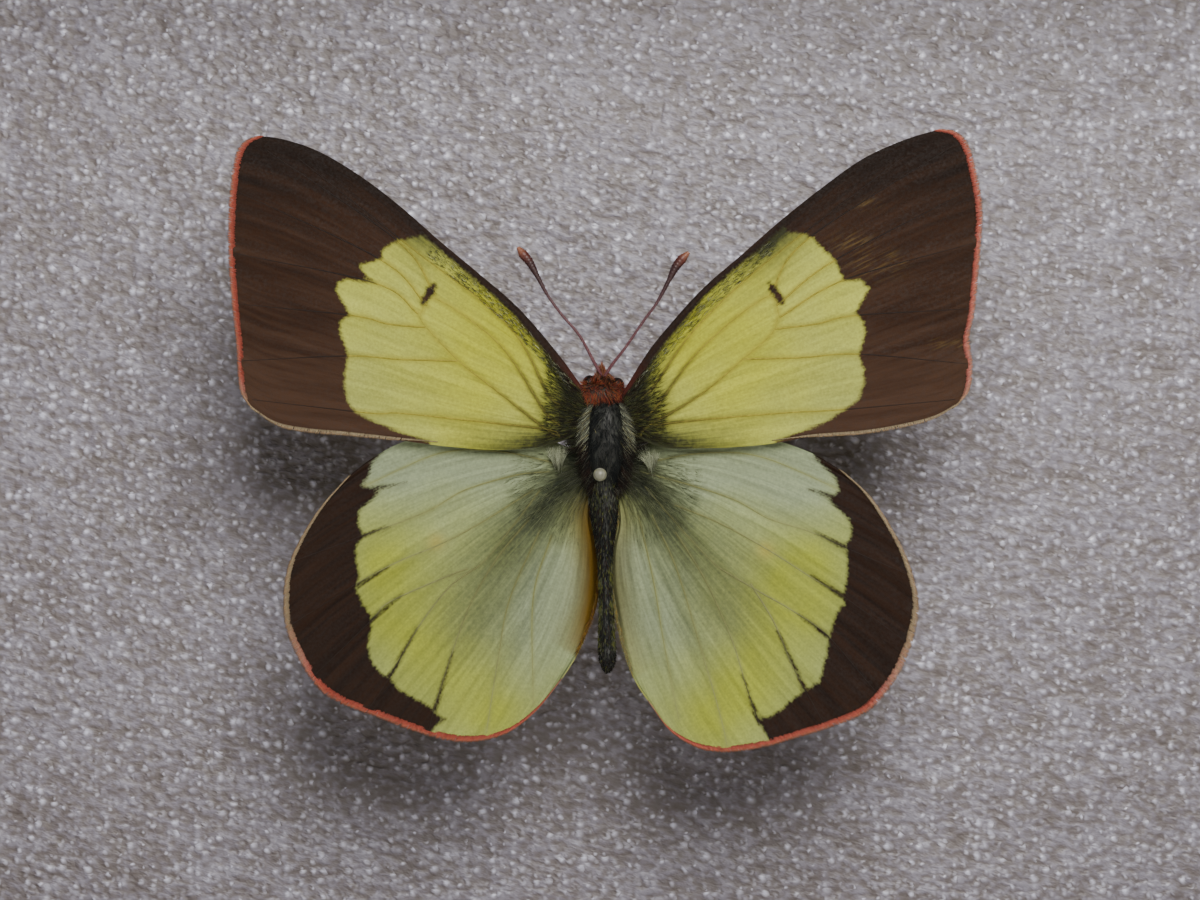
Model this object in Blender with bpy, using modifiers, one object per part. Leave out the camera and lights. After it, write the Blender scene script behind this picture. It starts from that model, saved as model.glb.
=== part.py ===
"""A pinned, spread butterfly on a foam pad in an open-fronted wooden box frame.

The frame stands upright and faces -Y. The origin is under the middle of its lower rail.
Units are metres. The butterfly is described on a drawing plane that lies parallel to the foam:
x to the viewer's right, y towards the butterfly's head, z out of the foam towards the viewer,
with the pin at x = 0, y = 0 and the foam's face at z = 0. An empty carries that plane into the frame.
"""

import math

import bmesh
import bpy
from mathutils import Matrix, Vector

MM = 0.001
OBJECT_NAME = "framed_butterfly"

# Box frame
OPENING_WIDTH = 100 * MM
OPENING_HEIGHT = 80 * MM
RAIL_FACE = 12 * MM
FRAME_DEPTH = 48 * MM
EDGE_ROUND = 1.5 * MM
ROUND_STEPS = 8
JOINT_GAP = 0.1 * MM  # each mitred end stops this far short of the joint's plane
FIT_GAP = 0.3 * MM
REBATE_WIDTH = 4 * MM
FRONT_SPACE = 29 * MM  # from the front of the frame to the foam's face
FOAM_THICKNESS = 12.7 * MM
BOARD_THICKNESS = 3 * MM
BOARD_EDGE = 0.4 * MM

# Steel points that hold the board in
POINT_LENGTH = 10 * MM
POINT_WIDTH = 7 * MM
POINT_THICKNESS = 0.6 * MM
POINT_SUNK = 3.5 * MM
POINT_GAP = 0.15 * MM

# Sawtooth hanger
HANGER_LENGTH = 40 * MM
HANGER_HEIGHT = 7 * MM
HANGER_THICKNESS = 0.8 * MM
HANGER_LIFT = 0.9 * MM  # how far the toothed middle stands off the wood
HANGER_BEND = (11 * MM, 13 * MM)  # each side's bend begins and ends this far from the middle
TOOTH_COUNT = 9
TOOTH_PITCH = 2 * MM
TOOTH_DEPTH = 1 * MM
NAIL_SPACING = 33 * MM
NAIL_RADIUS = 0.6 * MM
NAIL_LENGTH = 9 * MM
NAIL_POINT_LENGTH = 1.5 * MM
NAIL_HEAD_RADIUS = 1.4 * MM
NAIL_HEAD_THICKNESS = 0.5 * MM
NAIL_HOLE_GAP = 0.15 * MM

# Insect pin
PIN_RADIUS = 0.2 * MM
PIN_HEAD_RADIUS = 0.38 * MM
PIN_DEPTH = 12 * MM
PIN_POINT_LENGTH = 1.5 * MM
PIN_TOP = 26 * MM
PIN_HOLE_RADIUS = 0.32 * MM
PIN_HEIGHT_IN_OPENING = OPENING_HEIGHT / 2 - 1.4 * MM

# Butterfly, in millimetres: heights above the foam
BODY_Z = 14.0
FOREWING_ROOT_Z = 15.0
HINDWING_ROOT_Z = 14.2
WING_THICKNESS = 0.2
WING_ROOT_GAP = 0.12

# Body in millimetres, each lump as its centre and half sizes. Its middle is a little to the right of the pin.
BODY_X = 0.35
THORAX = ((BODY_X, 2.0, BODY_Z), (1.9, 3.3, 2.2))
COLLAR = ((0.2, 4.6, BODY_Z + 0.1), (1.45, 1.0, 1.5))
HEAD = ((0.2, 5.6, BODY_Z), (1.1, 0.9, 1.05))
EYE_RADIUS = 0.62
EYE_OFFSET = (0.74, 0.12, -0.05)
PALP = [(0.22, 0.4, -0.5), (0.16, 1.0, -0.3), (0.1, 1.4, -0.1)]  # from the head's middle
PALP_RADII = [0.3, 0.24, 0.1]

# Half widths of the abdomen at their distance y, from the waist to the tip
ABDOMEN = [
    (0.5, 0.9), (-0.8, 1.05), (-2.0, 0.95), (-3.2, 0.75), (-4.4, 0.55), (-5.6, 0.47),
    (-7.2, 0.46), (-8.6, 0.5), (-9.8, 0.55), (-10.9, 0.59), (-11.5, 0.45), (-11.95, 0.15),
]
ABDOMEN_DEPTH = 1.15  # its height over its width

# Wing outlines in millimetres: the front edge from the root, the outer edge, and the rear edge from the root.
# The root ends reach into the body, where the wing is cut off. Each wing starts at root_z above the foam,
# rises towards its tip, is arched by its camber and dips along its rear edge.
WINGS = {
    "forewing_left": {
        "front": [
            (-0.6, 4.5), (-2.4, 7.0), (-4.8, 9.8), (-7.2, 11.9), (-9.6, 13.9), (-12.0, 16.0),
            (-14.4, 17.8), (-16.8, 19.2), (-18.9, 19.9), (-20.5, 20.1),
        ],
        "outer": [
            (-20.5, 20.1), (-21.4, 19.7), (-21.9, 18.8), (-22.1, 16.7), (-22.2, 14.3), (-22.1, 11.6),
            (-21.9, 9.5), (-21.7, 7.7), (-21.7, 5.9), (-21.4, 4.8), (-20.9, 3.9),
        ],
        "rear": [
            (-0.6, 2.7), (-3.0, 1.7), (-6.0, 1.4), (-9.0, 1.6), (-12.0, 1.9), (-15.0, 2.2),
            (-17.4, 2.4), (-19.2, 2.8), (-20.9, 3.9),
        ],
        "steps": (18, 12), "root_z": FOREWING_ROOT_Z, "rise": 0.9, "camber": 0.35, "dip": 0.0,
    },
    "forewing_right": {
        "front": [
            (1.1, 4.4), (2.5, 6.7), (3.6, 8.2), (6.0, 10.9), (8.4, 13.0), (10.8, 15.1),
            (13.2, 17.0), (15.6, 18.7), (18.0, 19.8), (20.3, 20.5),
        ],
        "outer": [
            (20.3, 20.5), (21.3, 20.3), (22.0, 19.5), (22.6, 17.7), (22.9, 15.7), (22.8, 13.7),
            (22.6, 11.3), (22.4, 9.5), (22.1, 8.1), (22.3, 6.5), (22.1, 5.0), (21.3, 4.1),
        ],
        "rear": [
            (1.2, 2.7), (3.6, 1.6), (6.0, 1.5), (8.4, 1.6), (10.5, 1.8), (12.6, 2.1),
            (15.6, 2.3), (18.0, 2.7), (19.8, 3.2), (21.3, 4.1),
        ],
        "steps": (18, 12), "root_z": FOREWING_ROOT_Z, "rise": 1.2, "camber": 0.35, "dip": 0.0,
    },
    "hindwing_left": {
        "front": [
            (-0.6, 1.0), (-3.6, 2.2), (-6.6, 2.7), (-9.6, 2.5), (-12.0, 1.8), (-13.8, 0.8), (-15.3, -0.4),
        ],
        "outer": [
            (-15.3, -0.4), (-16.8, -2.1), (-18.0, -4.0), (-18.8, -5.9), (-19.1, -7.8), (-18.8, -9.5),
            (-18.1, -11.3), (-17.0, -12.9), (-15.6, -13.8), (-13.5, -14.6), (-11.4, -15.5),
            (-9.3, -16.1), (-7.5, -16.1), (-5.6, -15.6), (-3.9, -14.3), (-2.4, -12.7),
        ],
        "rear": [
            (-0.3, -0.4), (-0.95, -2.3), (-0.5, -4.3), (-0.2, -6.4), (-0.3, -7.9), (-0.7, -9.4),
            (-1.4, -10.9), (-2.4, -12.7),
        ],
        "steps": (12, 22), "root_z": HINDWING_ROOT_Z, "rise": 0.5, "camber": 0.2, "dip": 1.6,
    },
    "hindwing_right": {
        "front": [
            (1.2, 1.0), (3.6, 2.1), (6.0, 2.6), (8.4, 2.5), (10.8, 1.9), (12.9, 1.1), (14.7, 0.0),
        ],
        "outer": [
            (14.7, 0.0), (16.2, -1.4), (17.5, -3.3), (18.5, -5.3), (19.1, -7.6), (18.9, -9.5),
            (18.2, -11.5), (17.3, -13.1), (16.1, -14.4), (14.3, -15.3), (12.0, -16.1),
            (9.9, -16.6), (7.8, -16.7), (6.0, -16.5), (4.3, -15.5), (3.1, -13.9),
        ],
        "rear": [
            (0.8, -0.4), (1.35, -2.6), (0.9, -4.5), (0.8, -6.4), (1.0, -8.5), (1.3, -10.3),
            (2.0, -12.2), (3.1, -13.9),
        ],
        "steps": (12, 22), "root_z": HINDWING_ROOT_Z, "rise": 0.7, "camber": 0.2, "dip": 1.6,
    },
}

# Antennae in millimetres, from the head to the club's tip, with the radius at each point
ANTENNAE = {
    "antenna_left": [
        (-0.30, 6.55, 14.6), (-1.2, 8.2, 14.9), (-2.3, 9.5, 15.1), (-3.1, 10.6, 15.2), (-3.7, 11.7, 15.3),
        (-4.2, 12.6, 15.3), (-4.6, 13.1, 15.3), (-4.9, 13.5, 15.3),
    ],
    "antenna_right": [
        (0.72, 6.5, 14.6), (1.5, 7.5, 14.9), (2.6, 9.1, 15.1), (3.4, 10.2, 15.2), (4.1, 11.5, 15.3),
        (4.5, 12.3, 15.3), (4.9, 12.8, 15.3), (5.3, 13.2, 15.3),
    ],
}
ANTENNA_RADII = [0.11, 0.09, 0.09, 0.10, 0.14, 0.24, 0.28, 0.10]

# Legs folded under the thorax: hip, knee and foot of one side, mirrored about the body's middle
LEG_RADIUS = 0.13
LEGS = {
    "front": [(0.5, 4.0, 12.8), (1.1, 5.2, 11.5), (0.5, 3.6, 11.0), (0.3, 2.4, 10.8)],
    "middle": [(0.7, 2.2, 12.3), (1.7, 2.8, 11.1), (0.9, 0.6, 10.7), (0.6, -0.7, 10.5)],
    "hind": [(0.7, 0.6, 12.4), (1.6, -0.4, 11.2), (0.9, -2.4, 10.9), (0.6, -3.9, 10.8)],
}

FRAME_HALF_WIDTH = OPENING_WIDTH / 2 + RAIL_FACE
FRAME_HALF_HEIGHT = OPENING_HEIGHT / 2 + RAIL_FACE
HANGER_PROUD = HANGER_THICKNESS + HANGER_LIFT
FRONT_Y = -(FRAME_DEPTH + HANGER_PROUD) / 2
BACK_Y = FRONT_Y + FRAME_DEPTH
FOAM_FACE_Y = FRONT_Y + FRONT_SPACE
BOARD_FRONT_Y = FOAM_FACE_Y + FOAM_THICKNESS + FIT_GAP
REBATE_Y = BOARD_FRONT_Y - FIT_GAP / 2
OPENING_MIDDLE_Z = FRAME_HALF_HEIGHT
PIN_Z = RAIL_FACE + PIN_HEIGHT_IN_OPENING


def clear_scene():
    for obj in list(bpy.data.objects):
        bpy.data.objects.remove(obj, do_unlink=True)


def make_collection(name, hidden=False):
    collection = bpy.data.collections.new(name)
    collection.hide_render = hidden
    bpy.context.scene.collection.children.link(collection)
    return collection


def make_material(name, rgb, roughness=0.6, metallic=0.0):
    material = bpy.data.materials.new(name)
    material.use_nodes = True
    shader = material.node_tree.nodes["Principled BSDF"]
    shader.inputs["Base Color"].default_value = (*rgb, 1)
    shader.inputs["Roughness"].default_value = roughness
    shader.inputs["Metallic"].default_value = metallic
    return material


def add_object(name, data, collection):
    obj = bpy.data.objects.new(name, data)
    collection.objects.link(obj)
    return obj


def take(obj, name, collection):
    """Names a new primitive and moves it to its collection."""
    obj.name = name
    for old in list(obj.users_collection):
        old.objects.unlink(obj)
    collection.objects.link(obj)
    return obj


def make_cutter(obj):
    obj.hide_render = True
    obj.display_type = "WIRE"
    return obj


def boolean(obj, other, operation):
    modifier = obj.modifiers.new(operation.title(), "BOOLEAN")
    modifier.operation = operation
    modifier.solver = "EXACT"
    modifier.object = other


def box(name, size, centre, collection):
    bpy.ops.mesh.primitive_cube_add(size=1, location=centre)
    obj = take(bpy.context.active_object, name, collection)
    obj.scale = size
    bpy.ops.object.transform_apply(location=False, rotation=False, scale=True)
    return obj


def cylinder(name, radius, depth, collection, vertices=16):
    bpy.ops.mesh.primitive_cylinder_add(vertices=vertices, radius=radius, depth=depth)
    return take(bpy.context.active_object, name, collection)


def ellipsoid(name, centre, half_sizes, collection, segments=20, rings=12):
    """A sphere stretched to its half sizes, all in millimetres on the drawing plane."""
    bpy.ops.mesh.primitive_uv_sphere_add(segments=segments, ring_count=rings, radius=1)
    obj = take(bpy.context.active_object, name, collection)
    stretch = Matrix.Diagonal((*(size * MM for size in half_sizes), 1))
    obj.data.transform(Matrix.Translation(Vector(centre) * MM) @ stretch)
    return obj


def flat_plate(name, outline, thickness, collection, holes=()):
    """A closed outline in the XY plane, with round holes, extruded to a plate centred on z = 0."""
    curve = bpy.data.curves.new(name, "CURVE")
    curve.dimensions = "2D"
    curve.fill_mode = "BOTH"
    curve.extrude = thickness / 2
    for points in (outline, *holes):
        spline = curve.splines.new("POLY")
        spline.points.add(len(points) - 1)
        for point, (x, y) in zip(spline.points, points):
            point.co = (x, y, 0, 1)
        spline.use_cyclic_u = True
    return add_object(name, curve, collection)


def tube(name, points, radii, collection, resolution=2):
    """A tube through the points, in millimetres, with its own radius at each."""
    curve = bpy.data.curves.new(name, "CURVE")
    curve.dimensions = "3D"
    curve.bevel_depth = MM
    curve.bevel_resolution = resolution
    curve.use_fill_caps = True
    spline = curve.splines.new("POLY")
    spline.points.add(len(points) - 1)
    for point, place, radius in zip(spline.points, points, radii):
        point.co = (*(c * MM for c in place), 1)
        point.radius = radius
    return add_object(name, curve, collection)


def as_mesh(obj):
    """Replaces a curve object by its mesh, with the caps joined on."""
    graph = bpy.context.evaluated_depsgraph_get()
    mesh = bpy.data.meshes.new_from_object(obj.evaluated_get(graph))
    edit = bmesh.new()
    edit.from_mesh(mesh)
    bmesh.ops.remove_doubles(edit, verts=edit.verts, dist=0.001 * MM)
    bmesh.ops.recalc_face_normals(edit, faces=edit.faces)
    edit.to_mesh(mesh)
    edit.free()
    made = bpy.data.objects.new(obj.name, mesh)
    obj.users_collection[0].objects.link(made)
    made.matrix_world = obj.matrix_world.copy()
    name = obj.name
    bpy.data.objects.remove(obj)
    made.name = name
    return made


def shade_smooth(obj, degrees=40):
    obj.data.shade_smooth()
    obj.data.set_sharp_from_angle(angle=math.radians(degrees))


def finish(obj, material, parent=None):
    obj.data.materials.clear()
    obj.data.materials.append(material)
    obj.parent = parent


def circle(radius, centre, count=12):
    turn = 2 * math.pi / count
    across, up = centre
    return [(across + radius * math.cos(i * turn), up + radius * math.sin(i * turn)) for i in range(count)]


# Wooden frame


def rail_profile():
    """The rail's section: distance outwards from the opening, and depth y. Its front edges are rounded."""
    def corner(centre_across, start_degrees):
        for i in range(ROUND_STEPS + 1):
            angle = math.radians(start_degrees + 90 * i / ROUND_STEPS)
            across = centre_across + EDGE_ROUND * math.cos(angle)
            yield (across, FRONT_Y + EDGE_ROUND * (1 + math.sin(angle)))

    front = [*corner(EDGE_ROUND, 180), *corner(RAIL_FACE - EDGE_ROUND, 270)]
    back = [(RAIL_FACE, BACK_Y), (REBATE_WIDTH, BACK_Y), (REBATE_WIDTH, REBATE_Y), (0, REBATE_Y)]
    return front + back


def mitre(obj, half_length):
    """Cuts both ends at 45 degrees, so that the outer side, at z = RAIL_FACE, is the longer one."""
    edit = bmesh.new()
    edit.from_mesh(obj.data)
    for side in (-1, 1):
        edge_point = Vector((side * (half_length - JOINT_GAP), 0, RAIL_FACE))
        outwards = Vector((side, 0, -1)).normalized()
        everything = [*edit.verts, *edit.edges, *edit.faces]
        cut = bmesh.ops.bisect_plane(
            edit, geom=everything, plane_co=edge_point, plane_no=outwards, clear_outer=True
        )
        rim = [item for item in cut["geom_cut"] if isinstance(item, bmesh.types.BMEdge)]
        bmesh.ops.contextual_create(edit, geom=rim)
    bmesh.ops.recalc_face_normals(edit, faces=edit.faces)
    edit.to_mesh(obj.data)
    edit.free()


def make_rail(name, half_length, turn_degrees, distance, material, collection):
    """A rail of the given outer half length, modelled along X above the opening and then turned about Y."""
    rail = as_mesh(flat_plate(name, rail_profile(), 2 * half_length, collection))
    rail.data.transform(Matrix.Rotation(math.radians(-90), 4, "Y"))
    mitre(rail, half_length)
    rail.data.transform(Matrix.Translation((0, 0, distance)))
    rail.rotation_euler = (0, math.radians(turn_degrees), 0)
    rail.location = (0, 0, OPENING_MIDDLE_Z)
    bpy.context.view_layer.update()
    shade_smooth(rail, 30)
    finish(rail, material)
    return rail


def make_frame(material, collection):
    across, up = FRAME_HALF_WIDTH, FRAME_HALF_HEIGHT
    return {
        "top": make_rail("frame_rail_top", across, 0, OPENING_HEIGHT / 2, material, collection),
        "right": make_rail("frame_rail_right", up, 90, OPENING_WIDTH / 2, material, collection),
        "bottom": make_rail("frame_rail_bottom", across, 180, OPENING_HEIGHT / 2, material, collection),
        "left": make_rail("frame_rail_left", up, 270, OPENING_WIDTH / 2, material, collection),
    }


def make_board(material, collection):
    width = OPENING_WIDTH + 2 * (REBATE_WIDTH - FIT_GAP)
    height = OPENING_HEIGHT + 2 * (REBATE_WIDTH - FIT_GAP)
    centre = (0, BOARD_FRONT_Y + BOARD_THICKNESS / 2, OPENING_MIDDLE_Z)
    board = box("backing_board", (width, BOARD_THICKNESS, height), centre, collection)
    bevel = board.modifiers.new("Bevel", "BEVEL")
    bevel.width = BOARD_EDGE
    bevel.segments = 1
    finish(board, material)


def make_foam(material, collection, cutters):
    size = (OPENING_WIDTH - 2 * FIT_GAP, FOAM_THICKNESS, OPENING_HEIGHT - 2 * FIT_GAP)
    foam = box("foam_pad", size, (0, FOAM_FACE_Y + FOAM_THICKNESS / 2, OPENING_MIDDLE_Z), collection)
    depth = PIN_DEPTH + FIT_GAP
    hole = make_cutter(cylinder("pin_hole_in_foam", PIN_HOLE_RADIUS, 2 * depth, cutters))
    hole.rotation_euler = (math.radians(90), 0, 0)
    hole.location = (0, FOAM_FACE_Y, PIN_Z)
    boolean(foam, hole, "DIFFERENCE")
    finish(foam, material)


# Fixings on the back


def point_outline():
    """A framer's point: a blunt end in the rail and a pointed end over the board."""
    half = POINT_WIDTH / 2
    shoulder = (0.75 * half, 1.4 * POINT_SUNK)
    return [(-half, 0), (-shoulder[0], shoulder[1]), (0, POINT_LENGTH), shoulder, (half, 0)]


def make_points(rails, material, collection, cutters):
    """One point in each rail. Its blunt end sits in a slot in the rebate's wall."""
    y = BOARD_FRONT_Y + BOARD_THICKNESS + POINT_GAP + POINT_THICKNESS / 2
    for name, turn_degrees, half_opening in (
        ("top", 180, OPENING_HEIGHT / 2), ("right", 270, OPENING_WIDTH / 2),
        ("bottom", 0, OPENING_HEIGHT / 2), ("left", 90, OPENING_WIDTH / 2),
    ):
        turn = Matrix.Rotation(math.radians(turn_degrees), 4, "Y")
        start = Matrix.Translation((0, y, -half_opening - REBATE_WIDTH - POINT_SUNK))
        stand = Matrix.Rotation(math.radians(90), 4, "X")
        place = Matrix.Translation((0, 0, OPENING_MIDDLE_Z)) @ turn @ start @ stand
        point = flat_plate("framer_point_" + name, point_outline(), POINT_THICKNESS, collection)
        point.matrix_world = place
        bpy.context.view_layer.update()
        finish(as_mesh(point), material)
        slot_size = (POINT_WIDTH + 2 * POINT_GAP, POINT_SUNK + 2 * POINT_GAP, POINT_THICKNESS + 2 * POINT_GAP)
        slot = make_cutter(box("slot_in_rail_" + name, slot_size, (0, 0, 0), cutters))
        slot.matrix_world = place @ Matrix.Translation((0, POINT_SUNK / 2, 0))
        boolean(rails[name], slot, "DIFFERENCE")


def hanger_outline():
    """The strip's outline: rounded ends, a straight upper edge and teeth in the middle of the lower edge."""
    half_length, half_height = HANGER_LENGTH / 2, HANGER_HEIGHT / 2
    inner, outer = HANGER_BEND
    upper = [(x, half_height) for x in (outer, inner, -inner, -outer)]
    lower_left = [(-outer, -half_height), (-inner, -half_height)]
    lower_right = [(inner, -half_height), (outer, -half_height)]
    teeth = []
    first = -TOOTH_PITCH * TOOTH_COUNT / 2
    for i in range(TOOTH_COUNT):
        x = first + i * TOOTH_PITCH
        teeth += [(x, -half_height), (x + TOOTH_PITCH / 2, -half_height + TOOTH_DEPTH)]
    teeth.append((first + TOOTH_COUNT * TOOTH_PITCH, -half_height))
    end_round = half_height * 0.6
    corners = []
    centre_x = half_length - end_round
    for centre_y, start in ((-half_height + end_round, 270), (half_height - end_round, 0)):
        for i in range(4):
            angle = math.radians(start + 30 * i)
            across = centre_x + end_round * math.cos(angle)
            corners.append((across, centre_y + end_round * math.sin(angle)))
    left_corners = [(-x, -y) for x, y in corners]
    return corners + upper + left_corners + lower_left + teeth + lower_right


def make_hanger(rails, steel, nail_material, collection, cutters):
    """A stamped strip nailed to the upper rail's back, with its toothed middle bent off the wood."""
    middle_z = OPENING_MIDDLE_Z + OPENING_HEIGHT / 2 + REBATE_WIDTH + (RAIL_FACE - REBATE_WIDTH) / 2
    holes = [circle(NAIL_RADIUS + NAIL_HOLE_GAP, (side * NAIL_SPACING / 2, 0)) for side in (-1, 1)]
    strip = flat_plate("sawtooth_hanger", hanger_outline(), HANGER_THICKNESS, collection, holes)
    strip = as_mesh(strip)
    for vertex in strip.data.vertices:
        if abs(vertex.co.x) <= HANGER_BEND[0] + JOINT_GAP:
            vertex.co.z -= HANGER_LIFT - POINT_GAP
    strip.rotation_euler = (math.radians(90), 0, 0)
    strip.location = (0, BACK_Y + POINT_GAP + HANGER_THICKNESS / 2, middle_z)
    finish(strip, steel)
    for name, side in (("left", -1), ("right", 1)):
        x = side * NAIL_SPACING / 2
        nail = turned_piece(
            "hanger_nail_" + name,
            [
                (0, 0), (NAIL_HEAD_RADIUS * 0.7, 0), (NAIL_HEAD_RADIUS, -NAIL_HEAD_THICKNESS / 2),
                (NAIL_HEAD_RADIUS, -NAIL_HEAD_THICKNESS), (NAIL_RADIUS, -NAIL_HEAD_THICKNESS),
                (NAIL_RADIUS, -NAIL_LENGTH + NAIL_POINT_LENGTH), (0, -NAIL_LENGTH),
            ],
            collection,
            steps=12,
        )
        top = BACK_Y + HANGER_THICKNESS + 2 * POINT_GAP + NAIL_HEAD_THICKNESS
        nail.rotation_euler = (math.radians(-90), 0, 0)
        nail.location = (x, top, middle_z)
        finish(nail, nail_material)
        hole = make_cutter(
            cylinder("nail_hole_" + name, NAIL_RADIUS + NAIL_HOLE_GAP, 2 * NAIL_LENGTH, cutters, vertices=12)
        )
        hole.rotation_euler = (math.radians(90), 0, 0)
        hole.location = (x, BACK_Y, middle_z)
        boolean(rails["top"], hole, "DIFFERENCE")


def turned_piece(name, profile, collection, steps=16):
    """A profile of (radius, z) from top to bottom, turned about the local Z axis."""
    mesh = bpy.data.meshes.new(name)
    mesh.from_pydata([(r, 0, z) for r, z in profile], [(i, i + 1) for i in range(len(profile) - 1)], [])
    obj = add_object(name, mesh, collection)
    screw = obj.modifiers.new("Screw", "SCREW")
    screw.steps = screw.render_steps = steps
    screw.use_merge_vertices = True
    screw.merge_threshold = 0.001 * MM
    return obj


# Butterfly


def smooth_line(points, steps=10):
    """A smooth curve through every point: Catmull-Rom, with the ends carried straight on."""
    points = [Vector(p) for p in points]
    points = [2 * points[0] - points[1], *points, 2 * points[-1] - points[-2]]
    made = []
    for i in range(1, len(points) - 2):
        before, start, end, after = points[i - 1 : i + 3]
        for step in range(steps):
            t = step / steps
            square = 2 * before - 5 * start + 4 * end - after
            cube = 3 * start - before - 3 * end + after
            made.append(0.5 * (2 * start + (end - before) * t + square * t ** 2 + cube * t ** 3))
    made.append(points[-2])
    return made


def evenly(line, count):
    """The line again, as count points at equal distances along it."""
    lengths = [0.0]
    for a, b in zip(line, line[1:]):
        lengths.append(lengths[-1] + (b - a).length)
    made, i = [], 0
    for step in range(count):
        goal = lengths[-1] * step / (count - 1)
        while i < len(line) - 2 and lengths[i + 1] < goal:
            i += 1
        share = (goal - lengths[i]) / (lengths[i + 1] - lengths[i])
        made.append(line[i].lerp(line[i + 1], share))
    return made


def wing_height(wing, out, across):
    """Height above the foam in millimetres, at a share of the way out from the root and in from the front."""
    arch = wing["camber"] * math.sin(math.pi * min(1, out * 1.1)) * math.sin(math.pi * across)
    fold = max(0.0, (across - 0.72) / 0.28)
    dip = wing["dip"] * fold ** 1.5 * math.sin(math.pi * out) ** 2
    return wing["root_z"] + wing["rise"] * out + arch - dip


def make_wing(name, wing, material, collection, root_cutters, parent):
    """A thin curved sheet between the wing's front, outer and rear edges, cut off at the body."""
    steps_out, steps_across = wing["steps"]
    front = evenly(smooth_line(wing["front"]), steps_out + 1)
    rear = evenly(smooth_line(wing["rear"]), steps_out + 1)
    outer = evenly(smooth_line(wing["outer"]), steps_across + 1)
    bpy.ops.mesh.primitive_grid_add(x_subdivisions=steps_out, y_subdivisions=steps_across, size=2)
    obj = take(bpy.context.active_object, name, collection)
    for vertex in obj.data.vertices:
        out, across = (vertex.co.x + 1) / 2, (vertex.co.y + 1) / 2
        i, j = round(out * steps_out), round(across * steps_across)
        root = front[0].lerp(rear[0], across)
        corners = (
            (1 - out) * (1 - across) * front[0] + (1 - out) * across * rear[0]
            + out * (1 - across) * outer[0] + out * across * outer[-1]
        )
        place = front[i].lerp(rear[i], across) + root.lerp(outer[j], out) - corners
        vertex.co = (place.x * MM, place.y * MM, wing_height(wing, out, across) * MM)
    sheet = obj.modifiers.new("Solidify", "SOLIDIFY")
    sheet.thickness = WING_THICKNESS * MM
    sheet.offset = 0
    for cutter in root_cutters:
        boolean(obj, cutter, "DIFFERENCE")
    shade_smooth(obj, 60)
    finish(obj, material, parent)


def make_antenna(name, points, material, collection, parent):
    line = evenly(smooth_line(points), 12)
    radii = evenly(smooth_line([(r, 0, 0) for r in ANTENNA_RADII]), 12)
    antenna = as_mesh(tube(name, line, [r.x for r in radii], collection))
    shade_smooth(antenna, 60)
    finish(antenna, material, parent)


def make_abdomen(name, collection, swell=0.0):
    """A tapering tube, a little deeper than it is wide."""
    stations = [Vector((y, half_width, 0)) for y, half_width in ABDOMEN]
    line = evenly(smooth_line(stations), 22)
    points = [(0.2 - 0.022 * p.x, p.x, 0) for p in line]
    abdomen = as_mesh(tube(name, points, [max(p.y, 0.1) + swell for p in line], collection, resolution=4))
    lift = Matrix.Translation((0, 0, BODY_Z * MM))
    abdomen.data.transform(lift @ Matrix.Diagonal((1, 1, ABDOMEN_DEPTH, 1)))
    return abdomen


def make_legs(cutters):
    legs = []
    for name, points in LEGS.items():
        for side in (-1, 1):
            line = [(BODY_X + side * x, y, z) for x, y, z in points]
            radii = [LEG_RADIUS * 1.5, LEG_RADIUS * 1.3, LEG_RADIUS, LEG_RADIUS * 0.8]
            legs.append(as_mesh(tube(f"leg_{name}_{side}", line, radii, cutters, resolution=1)))
    return legs


def make_body(material, collection, cutters, parent):
    """Head, thorax, abdomen and folded legs are one piece, with the pin's hole through the thorax."""
    body = ellipsoid("butterfly_body", *THORAX, collection, segments=24, rings=16)
    hx, hy, hz = HEAD[0]
    ex, ey, ez = EYE_OFFSET
    grown = [ellipsoid("collar", *COLLAR, cutters), ellipsoid("head", *HEAD, cutters)]
    grown.append(make_abdomen("abdomen", cutters))
    for side in (-1, 1):
        eye_centre = (hx + side * ex, hy + ey, hz + ez)
        grown.append(ellipsoid(f"eye_{side}", eye_centre, (EYE_RADIUS,) * 3, cutters, segments=12, rings=8))
        palp = [(hx + side * x, hy + y, hz + z) for x, y, z in PALP]
        grown.append(as_mesh(tube(f"palp_{side}", palp, PALP_RADII, cutters, resolution=1)))
    grown += make_legs(cutters)
    for piece in grown:
        boolean(body, make_cutter(piece), "UNION")
    hole = make_cutter(cylinder("pin_hole_in_body", PIN_HOLE_RADIUS, 30 * MM, cutters))
    hole.location = (0, 0, BODY_Z * MM)
    boolean(body, hole, "DIFFERENCE")
    for piece in (body, *grown, hole):
        piece.parent = parent
    shade_smooth(body, 60)
    finish(body, material, parent)


def make_root_cutters(cutters, parent):
    """The parts of the body beside the wings, swollen by the gap that the wings keep from them."""
    made = [make_abdomen("wing_clearance_abdomen", cutters, WING_ROOT_GAP)]
    for name, (centre, half_sizes) in (("thorax", THORAX), ("collar", COLLAR)):
        swollen = [size + WING_ROOT_GAP for size in half_sizes]
        made.append(ellipsoid("wing_clearance_" + name, centre, swollen, cutters, segments=24, rings=16))
    for piece in made:
        make_cutter(piece).parent = parent
    return made


def make_pin(material, collection, parent):
    """A nylon-headed insect pin: a round head on a thin shaft with a pointed end."""
    profile = [(0, PIN_TOP)]
    for degrees in (30, 60, 90, 120, 145):
        angle = math.radians(degrees)
        profile.append((PIN_HEAD_RADIUS * math.sin(angle), PIN_TOP - PIN_HEAD_RADIUS * (1 - math.cos(angle))))
    profile.append((PIN_RADIUS, profile[-1][1] - PIN_RADIUS / 4))
    profile.append((PIN_RADIUS, -PIN_DEPTH + PIN_POINT_LENGTH))
    profile.append((0, -PIN_DEPTH))
    pin = turned_piece("insect_pin", profile, collection, steps=12)
    finish(pin, material, parent)


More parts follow.
